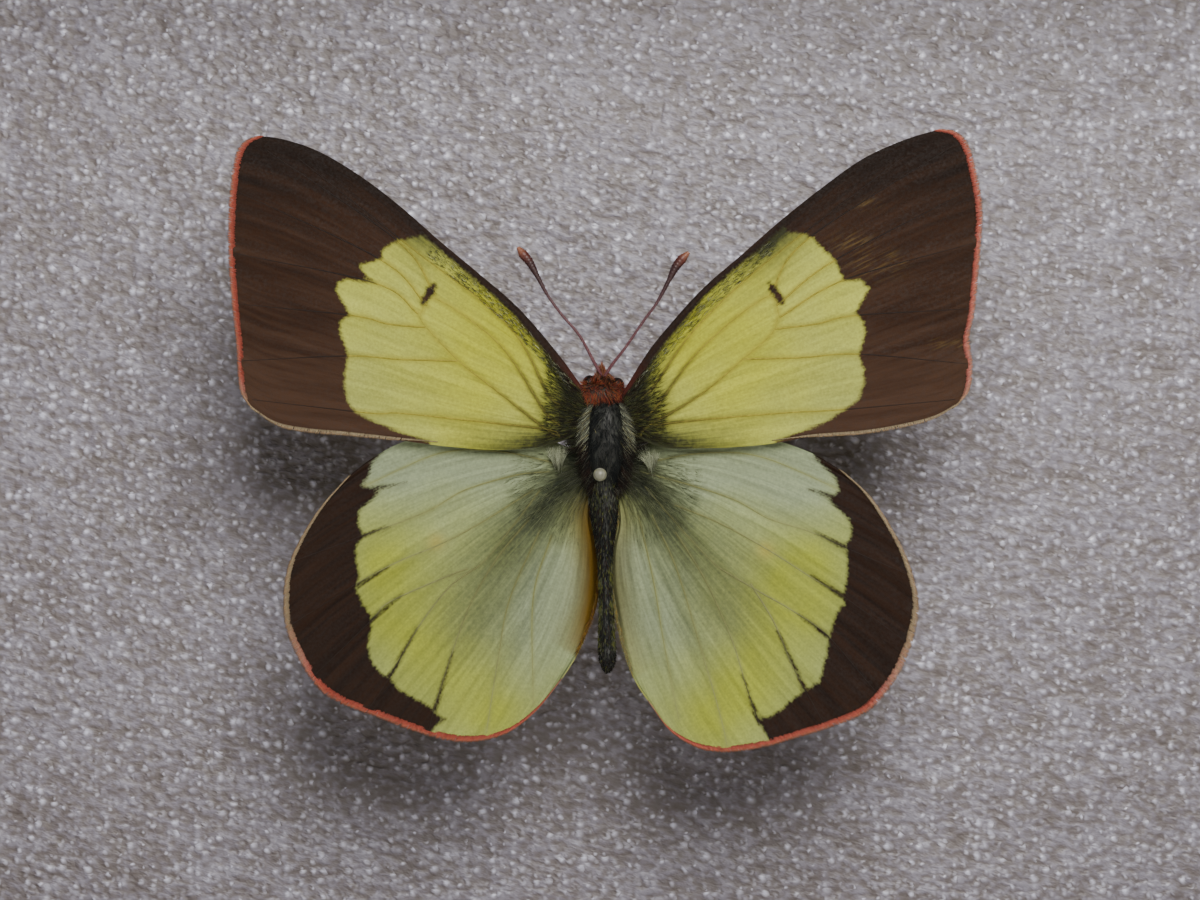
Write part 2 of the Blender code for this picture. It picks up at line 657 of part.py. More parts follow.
def main():
    clear_scene()
    parts = make_collection(OBJECT_NAME)
    cutters = make_collection("cutters", hidden=True)
    wood = make_material("oiled_walnut", (0.17, 0.08, 0.04), 0.5)
    board = make_material("hardboard", (0.24, 0.15, 0.08), 0.8)
    foam = make_material("grey_foam", (0.36, 0.34, 0.35), 0.6)
    steel = make_material("zinc_plated_steel", (0.6, 0.6, 0.58), 0.35, 1.0)
    pin_steel = make_material("pin_steel", (0.7, 0.68, 0.6), 0.3, 1.0)
    yellow = make_material("yellow_wing_scales", (0.45, 0.45, 0.08), 0.8)
    pale = make_material("pale_wing_scales", (0.38, 0.4, 0.2), 0.8)
    fur = make_material("dark_body_hair", (0.03, 0.035, 0.03), 0.9)
    horn = make_material("red_brown_antenna", (0.12, 0.03, 0.03), 0.5)

    rails = make_frame(wood, parts)
    make_foam(foam, parts, cutters)
    make_board(board, parts)
    make_points(rails, steel, parts, cutters)
    make_hanger(rails, steel, steel, parts, cutters)

    drawing_plane = add_object("drawing_plane", None, parts)
    drawing_plane.location = (0, FOAM_FACE_Y, PIN_Z)
    drawing_plane.rotation_euler = (math.radians(90), 0, 0)
    make_pin(pin_steel, parts, drawing_plane)
    make_body(fur, parts, cutters, drawing_plane)
    root_cutters = make_root_cutters(cutters, drawing_plane)
    for name, wing in WINGS.items():
        scales = yellow if name.startswith("fore") else pale
        make_wing(name, wing, scales, parts, root_cutters, drawing_plane)
    for name, points in ANTENNAE.items():
        make_antenna(name, points, horn, parts, drawing_plane)


main()
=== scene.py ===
import math
from functools import partial

import bpy
import numpy as np
from mathutils import Matrix, Vector


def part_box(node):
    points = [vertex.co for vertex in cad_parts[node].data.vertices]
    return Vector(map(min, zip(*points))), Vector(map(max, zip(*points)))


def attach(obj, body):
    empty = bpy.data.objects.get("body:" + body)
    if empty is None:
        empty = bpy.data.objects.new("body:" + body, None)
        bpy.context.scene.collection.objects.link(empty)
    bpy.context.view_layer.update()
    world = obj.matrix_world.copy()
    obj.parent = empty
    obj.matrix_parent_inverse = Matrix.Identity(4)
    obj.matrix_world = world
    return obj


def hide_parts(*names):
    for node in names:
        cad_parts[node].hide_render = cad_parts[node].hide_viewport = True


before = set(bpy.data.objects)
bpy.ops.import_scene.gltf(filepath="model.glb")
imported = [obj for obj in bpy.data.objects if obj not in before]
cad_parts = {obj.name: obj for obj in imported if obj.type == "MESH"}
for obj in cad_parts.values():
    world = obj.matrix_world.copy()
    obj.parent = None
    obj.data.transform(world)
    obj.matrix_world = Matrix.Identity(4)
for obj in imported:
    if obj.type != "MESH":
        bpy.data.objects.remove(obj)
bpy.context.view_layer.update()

# A spread sulphur butterfly on its pin, over a grey foam pad in a walnut box frame.
# The insect is drawn on the foam: x to the right, y towards its head, z out of the foam,
# all in millimetres from the pin. planeToFrame stands that drawing up in the frame.

mm = 0.001
bpy.ops.object.select_all(action="DESELECT")

foamLow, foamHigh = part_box("foam_pad")
pinLow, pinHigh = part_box("insect_pin")
pinX = (pinLow.x + pinHigh.x) / 2
pinZ = (pinLow.z + pinHigh.z) / 2
planeToFrame = Matrix.Translation((pinX, foamLow.y, pinZ)) @ Matrix.Rotation(math.radians(90), 4, "X")


# Small tools


def report(stage):
    print("scene:", stage)


def linear(hexColour):
    channels = [int(hexColour[i : i + 2], 16) / 255 for i in (1, 3, 5)]
    return (*(c / 12.92 if c <= 0.04045 else ((c + 0.055) / 1.055) ** 2.4 for c in channels), 1.0)


def setSockets(node, values):
    # a socket is named, or numbered as the node lists it, and takes a link or a plain value
    for socket, value in values.items():
        if isinstance(value, bpy.types.NodeSocket):
            node.id_data.links.new(value, node.inputs[socket])
        else:
            node.inputs[socket].default_value = value


def per(*sizes):
    # the scale at which a pattern's grain has this size in millimetres, or these along the axes
    scales = tuple(1 / (size * mm) for size in sizes)
    return scales if len(scales) > 1 else scales[0]


def addNode(tree, kind, values=None, out=None, stops=(), **settings):
    # gives back the node's first output, or the one that out names
    node = tree.nodes.new("ShaderNode" + kind)
    for name, value in settings.items():
        setattr(node, name, value)
    setSockets(node, values or {})
    if stops:
        elements = node.color_ramp.elements
        elements[0].position, elements[1].position = stops[0][0], stops[-1][0]
        for place, colour in stops[1:-1]:
            elements.new(place)
        for element, (place, colour) in zip(elements, stops):
            element.color = linear(colour)
    return node.outputs[out] if out else next(socket for socket in node.outputs if socket.enabled)


def newMaterial(name):
    material = bpy.data.materials.new(name)
    material.use_nodes = True
    return material, partial(addNode, material.node_tree)


def finishMaterial(material, values):
    setSockets(material.node_tree.nodes["Principled BSDF"], values)
    return material


def activate(obj):
    bpy.ops.object.select_all(action="DESELECT")
    obj.select_set(True)
    bpy.context.view_layer.objects.active = obj


def applyModifier(obj, kind, **settings):
    modifier = obj.modifiers.new(kind.title(), kind)
    for name, value in settings.items():
        setattr(modifier, name, value)
    activate(obj)
    bpy.ops.object.modifier_apply(modifier=modifier.name)


def getPoints(obj):
    flat = np.empty(len(obj.data.vertices) * 3)
    obj.data.vertices.foreach_get("co", flat)
    return flat.reshape(-1, 3)


def setPoints(obj, places):
    obj.data.vertices.foreach_set("co", np.asarray(places, float).ravel())
    obj.data.update()


def setAttribute(obj, name, values):
    values = np.asarray(values, float)
    if values.ndim == 1:
        obj.data.attributes.new(name, "FLOAT", "POINT").data.foreach_set("value", values)
    else:
        obj.data.attributes.new(name, "FLOAT_VECTOR", "POINT").data.foreach_set("vector", values.ravel())


def smoothShade(obj, degrees):
    activate(obj)
    bpy.ops.object.shade_smooth_by_angle(angle=math.radians(degrees))


def joinAll(objects):
    activate(objects[0])
    for obj in objects:
        obj.select_set(True)
    bpy.ops.object.join()
    return bpy.context.active_object


def addTubes(name, tracks, rounding):
    # round tubes in one mesh, each through its places with a radius at each, in millimetres
    curve = bpy.data.curves.new(name, "CURVE")
    curve.dimensions = "3D"
    curve.bevel_depth = mm
    curve.bevel_resolution = rounding
    curve.use_fill_caps = True
    for places, radii in tracks:
        spline = curve.splines.new("POLY")
        spline.points.add(len(places) - 1)
        for point, place, radius in zip(spline.points, places, radii):
            point.co = (*(place * mm), 1)
            point.radius = radius
    obj = bpy.data.objects.new(name, curve)
    bpy.context.scene.collection.objects.link(obj)
    activate(obj)
    bpy.ops.object.convert(target="MESH")
    obj = bpy.context.active_object
    obj.data.shade_smooth()
    return obj


def settle(obj, name, material, slot, *cadNodes, onPlane=True):
    # the finished piece: its place goes into its mesh, and it rides on the frame
    bpy.context.view_layer.update()
    place = obj.matrix_world.copy()
    obj.matrix_world = Matrix.Identity(4)
    obj.data.transform(planeToFrame @ place if onPlane else place)
    obj.name = obj.data.name = name
    obj.data.materials.clear()
    obj.data.materials.append(material)
    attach(obj, "root")
    if cadNodes:
        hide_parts(*cadNodes)


# Lines and distances on the drawing, in numpy


def smoothLine(corners, count):
    # Catmull-Rom through the corners, then evenly spaced
    corners = np.asarray(corners, float)
    corners = np.vstack([2 * corners[0] - corners[1], corners, 2 * corners[-1] - corners[-2]])
    t = np.linspace(0, 1, 12, endpoint=False)[:, None]
    runs = []
    for a, b, c, d in zip(corners, corners[1:], corners[2:], corners[3:]):
        curve = 2 * b + (c - a) * t + (2 * a - 5 * b + 4 * c - d) * t**2 + (3 * b - a - 3 * c + d) * t**3
        runs.append(curve / 2)
    return evenly(np.vstack([*runs, corners[-2:-1]]), count)


def evenly(line, count):
    lengths = np.concatenate([[0], np.cumsum(np.linalg.norm(np.diff(line, axis=0), axis=1))])
    goals = np.linspace(0, lengths[-1], count)
    return np.stack([np.interp(goals, lengths, line[:, k]) for k in range(line.shape[1])], axis=1)


def alongLine(line, share):
    places = np.linspace(0, 1, len(line))
    return np.stack([np.interp(share, places, line[:, k]) for k in range(line.shape[1])], axis=-1)


def distanceToLine(places, line):
    # the distance to a chain of points, and how far along it the nearest place is, from 0 to 1
    line = np.asarray(line, float)
    best = np.full(len(places), 1e9)
    share = np.zeros(len(places))
    runs = len(line) - 1
    for i in range(runs):
        step = line[i + 1] - line[i]
        t = np.clip(((places - line[i]) @ step) / max(step @ step, 1e-9), 0, 1)
        gap = np.linalg.norm(places - line[i] - t[:, None] * step, axis=1)
        nearer = gap < best
        best = np.where(nearer, gap, best)
        share = np.where(nearer, (i + t) / runs, share)
    return best, share


def isInside(places, outline):
    inside = np.zeros(len(places), bool)
    outline = np.asarray(outline, float)
    for a, b in zip(outline, np.roll(outline, -1, axis=0)):
        crosses = (a[1] > places[:, 1]) != (b[1] > places[:, 1])
        with np.errstate(divide="ignore", invalid="ignore"):
            x = a[0] + (places[:, 1] - a[1]) * (b[0] - a[0]) / (b[1] - a[1])
        inside ^= crosses & (places[:, 0] < x)
    return inside


def fade(values, low, high):
    # 0 below low, 1 above high and smooth between them
    t = np.clip((values - low) / (high - low), 0, 1)
    return t * t * (3 - 2 * t)


def near(gap, width, power=2):
    # 1 at no distance, and falling away over the width
    return np.exp(-((np.abs(gap) / width) ** power))


def unit(vectors):
    return vectors / (np.linalg.norm(vectors, axis=1, keepdims=True) + 1e-9)


def lineLength(line):
    return np.linalg.norm(np.diff(line, axis=0), axis=1).sum()


# Hairs and fringe scales: thin three-sided spikes with a closed foot


strandHeights = (0.0, 0.35, 0.7)  # where a hair's three rings stand, as shares of its length


def growStrands(roots, tips, bends, radii, tints, taper=0.8):
    count = len(roots)
    axis = unit(tips - roots)
    helper = np.where(np.abs(axis[:, 2:3]) > 0.9, [[1.0, 0, 0]], [[0, 0, 1.0]])
    side = unit(np.cross(axis, helper))
    up = np.cross(side, axis)
    rings = []
    for t in strandHeights:
        middle = roots + (tips - roots) * t + bends * math.sin(math.pi * t)
        width = (radii * (1 - t) ** taper)[:, None]
        for corner in range(3):
            angle = 2 * math.pi * corner / 3
            rings.append(middle + width * (math.cos(angle) * side + math.sin(angle) * up))
    places = np.stack([*rings, tips], axis=1).reshape(-1, 3)
    faces = [(0, 2, 1)]
    for ring in (0, 3):
        for corner in range(3):
            after = (corner + 1) % 3
            faces.append((ring + corner, ring + after, ring + 3 + after, ring + 3 + corner))
    faces += [(6 + corner, 6 + (corner + 1) % 3, 9) for corner in range(3)]
    starts = np.arange(count) * 10
    corners = np.concatenate([starts[:, None] + np.array(face) for face in faces], axis=1)
    sizes = np.array([len(face) for face in faces])
    mesh = bpy.data.meshes.new("strands")
    mesh.vertices.add(len(places))
    mesh.vertices.foreach_set("co", (places * mm).ravel())
    mesh.loops.add(corners.size)
    mesh.loops.foreach_set("vertex_index", corners.ravel().astype(np.int32))
    mesh.polygons.add(count * len(faces))
    offsets = np.concatenate([[0], np.cumsum(np.tile(sizes, count))[:-1]])
    mesh.polygons.foreach_set("loop_start", offsets.astype(np.int32))
    mesh.update(calc_edges=True)
    mesh.validate()
    obj = bpy.data.objects.new("strands", mesh)
    bpy.context.scene.collection.objects.link(obj)
    setAttribute(obj, "tint", np.repeat(tints, 10, axis=0))
    setAttribute(obj, "height", np.tile([*np.repeat(strandHeights, 3), 1.0], count))
    mesh.shade_smooth()
    return obj


def addPack(packs, roots, tips, bend, radius, tints):
    # one kind of hair among a piece's packs, all bent one way or each its own
    count = len(roots)
    packs.append((roots, tips, np.broadcast_to(bend, (count, 3)), np.full(count, radius), tints))


def settlePacks(packs, name, material, slot, taper=0.8):
    strands = growStrands(*(np.concatenate(group) for group in zip(*packs)), taper=taper)
    settle(strands, name, material, slot)


# Wings

wingShapes = {
    "forewing_left": {
        "front": [
            (-0.6, 4.5), (-2.4, 7.0), (-4.8, 9.8), (-7.2, 11.9), (-9.6, 13.9), (-12.0, 16.0),
            (-14.4, 17.8), (-16.8, 19.2), (-18.9, 19.9), (-20.5, 20.1),
        ],
        "outer": [
            (-20.5, 20.1), (-21.3, 19.7), (-21.8, 18.8), (-22.1, 16.7), (-22.2, 14.3), (-22.1, 11.6),
            (-21.9, 9.5), (-21.7, 7.7), (-21.6, 5.9), (-21.4, 4.8), (-20.8, 3.9),
        ],
        "rear": [
            (-0.6, 2.7), (-3.0, 1.7), (-6.0, 1.4), (-9.0, 1.6), (-12.0, 1.9), (-15.0, 2.2),
            (-17.4, 2.4), (-19.2, 2.8), (-20.8, 3.9),
        ],
        "height": {"root": 15.0, "rise": 0.9, "camber": 0.35, "dip": 0.0},
        "border": [
            (-10.1, 14.4), (-11.0, 14.1), (-12.0, 13.9), (-12.9, 13.4), (-13.0, 12.8), (-14.3, 12.4),
            (-13.9, 11.7), (-13.3, 11.3), (-15.0, 11.6), (-15.6, 11.3), (-15.7, 10.9), (-15.3, 10.2),
            (-14.9, 9.5), (-15.4, 9.1), (-15.5, 8.5), (-15.2, 7.7), (-15.0, 7.0), (-15.2, 5.9),
            (-15.2, 5.0), (-15.0, 4.2), (-14.5, 3.6), (-13.5, 3.1), (-12.0, 2.5), (-10.2, 1.9),
        ],
        "beyond": [(-10.2, -4), (-30, -4), (-30, 30), (-10.1, 30)],
        "spot": [(-9.8, 11.3), (-10.6, 10.1)],
        "veins": [
            [(-2.4, 2.2), (-3.3, 2.7), (-6.0, 4.8), (-8.4, 6.7), (-10.5, 8.9), (-10.7, 9.5)],
            [(-8.5, 6.7), (-12.0, 6.8), (-15.0, 7.0), (-21.4, 6.7)],
            [(-10.4, 8.7), (-12.6, 8.9), (-14.7, 9.4), (-21.6, 10.1)],
            [(-10.8, 9.5), (-13.3, 11.3), (-21.7, 13.1)],
            [(-2.4, 2.2), (-3.0, 2.6), (-7.2, 3.1), (-12.0, 3.6), (-13.7, 3.6), (-20.7, 4.4)],
            [(-2.4, 2.9), (-3.3, 3.7), (-6.0, 7.7), (-9.8, 10.4), (-10.7, 9.5)],
            [
                (-2.4, 4.1), (-3.1, 4.7), (-4.8, 8.0), (-7.2, 10.4), (-9.6, 12.2), (-11.7, 13.8),
                (-18.0, 18.8),
            ],
            [(-10.3, 10.0), (-13.0, 12.7), (-21.4, 16.7)],
            [(-9.8, 10.6), (-12.0, 13.8), (-19.8, 19.2)],
        ],
        "streaks": [],
        "wear": [],
        "fringe": [(0.0, 0.85), (0.85, 0.9), (0.97, 0.25), (1.0, 0.1)],
    },
    "forewing_right": {
        "front": [
            (1.1, 4.4), (2.5, 6.7), (3.6, 8.2), (6.0, 10.9), (8.4, 13.0), (10.8, 15.1),
            (13.2, 17.0), (15.6, 18.7), (18.0, 19.8), (20.3, 20.5),
        ],
        "outer": [
            (20.3, 20.5), (21.3, 20.3), (22.0, 19.5), (22.5, 17.7), (22.8, 15.7), (22.7, 13.7),
            (22.5, 11.3), (22.3, 9.5), (22.0, 8.1), (22.2, 6.5), (22.0, 5.0), (21.3, 4.1),
        ],
        "rear": [
            (1.2, 2.7), (3.6, 1.6), (6.0, 1.5), (8.4, 1.6), (10.5, 1.8), (12.6, 2.1),
            (15.6, 2.3), (18.0, 2.7), (19.8, 3.2), (21.3, 4.1),
        ],
        "height": {"root": 15.0, "rise": 1.2, "camber": 0.35, "dip": 0.0},
        "border": [
            (11.1, 14.4), (12.0, 14.3), (12.7, 14.0), (13.3, 13.3), (14.0, 12.7), (14.3, 11.9),
            (14.5, 11.5), (15.5, 11.5), (16.0, 11.0), (15.6, 10.3), (15.2, 9.6), (15.6, 9.1),
            (15.8, 8.5), (15.6, 7.7), (15.4, 7.0), (15.7, 6.2), (15.7, 5.3), (15.4, 4.4),
            (14.7, 3.9), (13.5, 3.1), (12.0, 2.5), (10.5, 1.9),
        ],
        "beyond": [(10.5, -4), (30, -4), (30, 30), (11.1, 30)],
        "spot": [(10.1, 11.3), (10.9, 10.1)],
        "veins": [
            [(2.4, 2.5), (3.0, 2.9), (6.0, 4.7), (8.4, 6.7), (10.2, 8.3), (10.6, 9.3)],
            [(8.5, 6.8), (12.0, 6.9), (15.4, 7.1), (22.0, 6.5)],
            [(10.4, 8.6), (12.9, 8.9), (15.2, 9.4), (22.1, 9.8)],
            [(10.7, 9.3), (14.5, 11.5), (22.2, 13.7)],
            [(2.4, 2.2), (3.0, 2.8), (6.0, 3.2), (10.8, 3.6), (14.4, 3.8), (21.1, 4.4)],
            [(2.4, 3.2), (3.3, 3.9), (6.0, 7.4), (9.9, 10.5), (10.7, 9.3)],
            [(2.4, 4.4), (3.3, 5.3), (5.4, 8.3), (8.4, 11.3), (12.0, 14.2), (18.0, 18.8)],
            [(10.5, 10.0), (14.0, 12.7), (22.3, 17.0)],
            [(10.1, 10.6), (12.3, 13.9), (21.0, 19.5)],
        ],
        "streaks": [],
        "wear": [
            (15.0, 13.7, 0.7), (16.2, 12.4, 0.9), (17.2, 12.9, 0.4), (15.9, 16.0, 0.4),
            (20.1, 7.7, 0.35), (21.3, 7.7, 0.35), (17.9, 12.6, 0.3),
        ],
        "fringe": [(0.0, 0.85), (0.6, 0.75), (0.9, 0.65), (0.97, 0.3), (1.0, 0.1)],
    },
    "hindwing_left": {
        "front": [
            (-0.6, 1.0), (-3.6, 2.2), (-6.6, 2.7), (-9.6, 2.5), (-12.0, 1.8), (-13.8, 0.8), (-15.3, -0.4),
        ],
        "outer": [
            (-15.3, -0.4), (-16.8, -2.1), (-18.0, -4.0), (-18.8, -5.9), (-19.0, -7.8), (-18.8, -9.5),
            (-18.0, -11.3), (-16.9, -12.9), (-15.6, -13.8), (-13.5, -14.6), (-11.4, -15.4),
            (-9.3, -16.0), (-7.5, -16.1), (-5.6, -15.6), (-3.9, -14.3), (-2.5, -12.6),
        ],
        "rear": [
            (-0.3, -0.4), (-0.6, -2.3), (-0.15, -4.3), (0.0, -6.2), (-0.2, -7.9), (-0.7, -9.4),
            (-1.4, -10.9), (-2.5, -12.6),
        ],
        "height": {"root": 14.2, "rise": 0.5, "camber": 0.2, "dip": 1.6},
        "border": [
            (-12.6, 1.6), (-13.7, 0.6), (-13.8, -0.1), (-14.3, -0.7), (-13.2, -1.1), (-13.7, -1.6),
            (-14.4, -2.2), (-14.5, -3.1), (-14.1, -3.7), (-14.6, -4.3), (-14.6, -5.2), (-14.4, -6.1),
            (-14.6, -6.9), (-14.2, -7.8), (-13.7, -8.6), (-13.7, -9.4), (-13.9, -10.3), (-13.7, -11.2),
            (-13.2, -11.9), (-12.6, -12.2), (-12.1, -12.9), (-11.4, -13.3), (-10.5, -13.8), (-10.1, -14.0),
            (-9.8, -14.4), (-9.2, -14.7), (-9.8, -15.1), (-10.2, -15.5),
        ],
        "beyond": [(-10.2, -25), (-30, -25), (-30, 6), (-12.6, 6)],
        "spot": [],
        "veins": [
            [(-3.0, 0.1), (-5.0, -0.1), (-8.1, -1.0), (-10.4, -2.3), (-14.4, -3.8), (-18.2, -5.2)],
            [(-4.0, -1.0), (-7.2, -3.0), (-9.7, -4.3), (-11.9, -5.2), (-14.4, -6.5), (-18.4, -9.0)],
            [(-7.9, -5.7), (-9.0, -6.1), (-12.6, -7.7), (-13.7, -8.8), (-17.2, -12.2)],
            [(-7.2, -5.5), (-9.0, -6.8), (-10.8, -9.1), (-12.6, -12.2), (-13.9, -14.2)],
            [(-4.3, -2.8), (-6.1, -5.0), (-7.6, -7.5), (-8.6, -10.0), (-9.9, -14.0), (-10.2, -15.3)],
            [(-3.6, -3.4), (-5.4, -7.5), (-6.1, -11.1), (-6.8, -15.5)],
            [(-2.9, -3.7), (-4.0, -7.5), (-4.0, -13.8)],
            [(-3.6, -1.0), (-5.4, -3.4), (-7.2, -5.5), (-9.0, -6.2)],
            [(-2.6, 0.6), (-6.0, 1.3), (-9.6, 1.2), (-14.2, -0.8)],
        ],
        "streaks": [
            [(-14.4, -3.8), (-12.6, -3.2)], [(-14.5, -6.7), (-12.6, -5.6)], [(-13.7, -8.8), (-11.8, -7.2)],
            [(-12.6, -12.2), (-10.9, -9.2)], [(-9.9, -14.2), (-8.8, -10.6)], [(-13.8, -1.0), (-11.6, -0.5)],
        ],
        "wear": [],
        "orange": (-9.8, -4.1, 0.5),
        "dusted": [(-2.0, -0.5), (-4.8, -3.5), (-7.2, -8.2)],
        "pale": [
            (-4.0, -9.5, 3.2), (-9.5, 1.5, 3.4), (-4.5, 0.8, 3.5), (-2.2, -6.0, 2.4), (-13.0, 0.5, 2.2)
        ],
        "yellow": [(-12.6, -8.6, 3.0), (-12.8, -5.0, 2.4), (-9.0, -12.0, 3.4), (-6.0, -14.6, 2.2)],
        # how dark the abdomen's painted shadow lies along the inner margin, and the hairs' tints there
        "inner": 1.2,
        "innerHair": "goldenMargin",
        "tuft": [(-2.5, 0.35), (-2.6, 1.65)],  # its root and the middle of its tips
        "fringe": [(0.0, 0.15), (0.3, 0.2), (0.4, 0.55), (0.46, 0.95), (0.95, 0.95), (1.0, 0.5)],
    },
    "hindwing_right": {
        "front": [
            (1.2, 1.0), (3.6, 2.1), (6.0, 2.6), (8.4, 2.5), (10.8, 1.9), (12.9, 1.1), (14.7, 0.0),
        ],
        "outer": [
            (14.7, 0.0), (16.2, -1.4), (17.5, -3.3), (18.5, -5.3), (19.1, -7.6), (18.9, -9.5),
            (18.2, -11.5), (17.2, -13.1), (16.0, -14.3), (14.2, -15.1), (12.0, -15.8),
            (9.9, -16.4), (7.8, -16.7), (6.0, -16.5), (4.3, -15.5), (3.1, -13.9),
        ],
        "rear": [
            (0.8, -0.4), (1.1, -2.6), (0.65, -4.5), (0.6, -6.4), (0.9, -8.5), (1.3, -10.3),
            (2.0, -12.2), (3.1, -13.9),
        ],
        "height": {"root": 14.2, "rise": 0.7, "camber": 0.2, "dip": 1.6},
        "border": [
            (12.8, 1.0), (14.1, -0.3), (14.3, -1.0), (13.7, -1.6), (14.3, -2.2), (14.9, -2.8),
            (15.1, -3.5), (14.7, -4.3), (14.8, -5.2), (14.8, -6.1), (14.6, -7.0), (14.6, -7.8),
            (14.2, -8.3), (13.9, -9.1), (13.7, -9.7), (13.6, -10.6), (13.4, -11.5), (13.1, -12.5),
            (12.2, -13.0), (11.4, -13.6), (10.9, -14.1), (10.2, -14.5), (9.4, -14.6), (9.7, -15.1),
            (9.9, -15.5), (10.2, -16.2),
        ],
        "beyond": [(10.2, -25), (30, -25), (30, 6), (12.8, 6)],
        "spot": [],
        "veins": [
            [(2.4, 0.1), (5.4, -0.7), (8.1, -1.6), (10.1, -2.7), (12.6, -3.5), (14.6, -4.4), (18.3, -6.0)],
            [(4.5, -1.9), (7.2, -3.0), (10.1, -4.6), (12.6, -6.2), (14.6, -7.4), (18.2, -10.0)],
            [(7.2, -5.7), (9.4, -7.0), (11.5, -8.2), (13.6, -9.7), (16.6, -13.2)],
            [(9.0, -6.6), (10.4, -8.9), (11.5, -11.5), (12.3, -13.0), (13.4, -15.0)],
            [(4.5, -3.5), (6.3, -6.4), (7.9, -10.0), (8.8, -12.9), (9.7, -15.4), (10.0, -16.1)],
            [(3.1, -2.5), (4.5, -5.5), (5.9, -10.0), (7.2, -14.5), (7.6, -16.3)],
            [(2.3, -2.5), (3.2, -6.4), (3.8, -10.0), (4.7, -14.7)],
            [(2.7, -0.8), (5.2, -3.7), (7.2, -5.7), (9.4, -7.0)],
            [(2.6, 0.6), (6.0, 1.2), (9.6, 1.0), (14.2, -0.9)],
        ],
        "streaks": [
            [(14.6, -4.4), (12.8, -3.5)], [(14.6, -7.4), (12.6, -6.1)], [(13.6, -9.7), (11.8, -8.4)],
            [(12.3, -13.0), (10.6, -9.4)], [(9.5, -14.9), (8.5, -12.0)], [(14.2, -1.5), (12.4, -0.9)],
        ],
        "wear": [],
        "orange": (9.9, -4.6, 0.5),
        "dusted": [(2.4, -0.5), (4.2, -2.8), (7.2, -7.6)],
        "pale": [(3.4, -8.8, 3.0), (9.0, 1.2, 3.6), (5.0, 0.8, 3.0), (12.4, -0.4, 2.6), (2.0, -5.0, 2.2)],
        "yellow": [(11.6, -8.0, 3.2), (12.2, -5.4, 2.4), (9.0, -12.6, 3.2), (6.4, -14.8, 2.2)],
        # how dark the abdomen's painted shadow lies along the inner margin
        "inner": 0.5,
        "innerHair": "paleMargin",
        "tuft": [(3.1, 0.3), (2.85, 1.35)],
        "fringe": [(0.0, 0.12), (0.35, 0.2), (0.46, 0.5), (0.52, 0.9), (0.95, 0.95), (1.0, 0.5)],
    },
}

wingMake = {
    "forewingSteps": (150, 112),  # out along the wing and across it
    "hindwingSteps": (128, 176),
    "forewingGrain": (24, 16),  # the length and width that the wing's patterns are laid on
    "hindwingGrain": (18, 30),
    "thickness": 0.07,
    "veinRadius": 0.05,
    "veinSunk": 0.01,
    "pleatDepth": 0.055,
    "pleatWidth": 0.5,
    "rippleDepth": 0.03,
    "rippleTurns": 47,  # radians over the wing's width
    "costaWidth": 0.4,
    "streakWidth": 0.13,
    "spotWidth": (0.06, 0.2),  # at its ends, and what its middle adds
    "innerWidth": 1.3,
    "wearStretch": (0.6, 1.2),  # worn flecks are longer than they are wide
}
# how thickly the dark scales lie, over how many millimetres and how sharply they end
wingDust = {
    "foreRoot": (1.2, 2.6, 2.4),
    "foreCosta": (0.8, 0.9, 2),
    "foreTip": (1.05, 1.45, 2),
    "foreRear": (0.92, 1.35, 2),
    "foreVein": (0.8, 0.14, 2),
    "hindRoot": (1.0, 2.4, 2.5),
    "hindVein": (0.45, 0.2, 2),
}
foldDust = {"thickness": 0.92, "thinning": 0.55, "width": 1.15, "widening": 1.9}
# how brown the forewing's border is at each height above the pin
borderBloom = [(4.0, 0.95), (6.0, 0.9), (8.5, 0.6), (14.0, 0.55), (16.5, 0.35), (18.8, 0.05)]


def wingEdges(shape):
    return [smoothLine(shape[side], 400) for side in ("front", "rear", "outer")]


def wingPlaces(edges, out, across):
    front, rear, outer = edges
    f, r, o = alongLine(front, out), alongLine(rear, out), alongLine(outer, across)
    out, across = out[..., None], across[..., None]
    root = front[0] * (1 - across) + rear[0] * across
    corners = (1 - out) * root + out * ((1 - across) * outer[0] + across * outer[-1])
    return (1 - across) * f + across * r + (1 - out) * root + out * o - corners


def wingHeights(shape, out, across):
    # the same sweep as the solid wing's
    h = shape["height"]
    arch = h["camber"] * np.sin(math.pi * np.minimum(1, out * 1.1)) * np.sin(math.pi * across)
    fold = np.maximum(0, (across - 0.72) / 0.28)
    dip = h["dip"] * fold**1.5 * np.sin(math.pi * np.clip(out, 0, 1)) ** 2
    return h["root"] + h["rise"] * out + arch - dip


def onWing(shape, edges, out, across):
    return np.column_stack([wingPlaces(edges, out, across), wingHeights(shape, out, across)])


def strewn(part, gap):
    thickness, width, power = wingDust[part]
    return thickness * near(gap, width, power)


def blots(places, spots):
    return sum(near(np.linalg.norm(places - (x, y), axis=1), radius) for x, y, radius in spots)


def borderEdge(shape, places):
    # how deep each place lies in the dark border, its streaks or the spot
    border = np.asarray(shape["border"], float)
    gap, _ = distanceToLine(places, border)
    edge = np.where(isInside(places, np.vstack([border, shape["beyond"]])), gap, -gap)
    for line in shape["streaks"]:
        gap, share = distanceToLine(places, line)
        edge = np.maximum(edge, wingMake["streakWidth"] * (1 - share) ** 0.7 - gap)
    if shape["spot"]:
        gap, share = distanceToLine(places, shape["spot"])
        least, more = wingMake["spotWidth"]
        edge = np.maximum(edge, least + more * np.sin(math.pi * np.clip(share, 0, 1)) ** 0.8 - gap)
    return edge


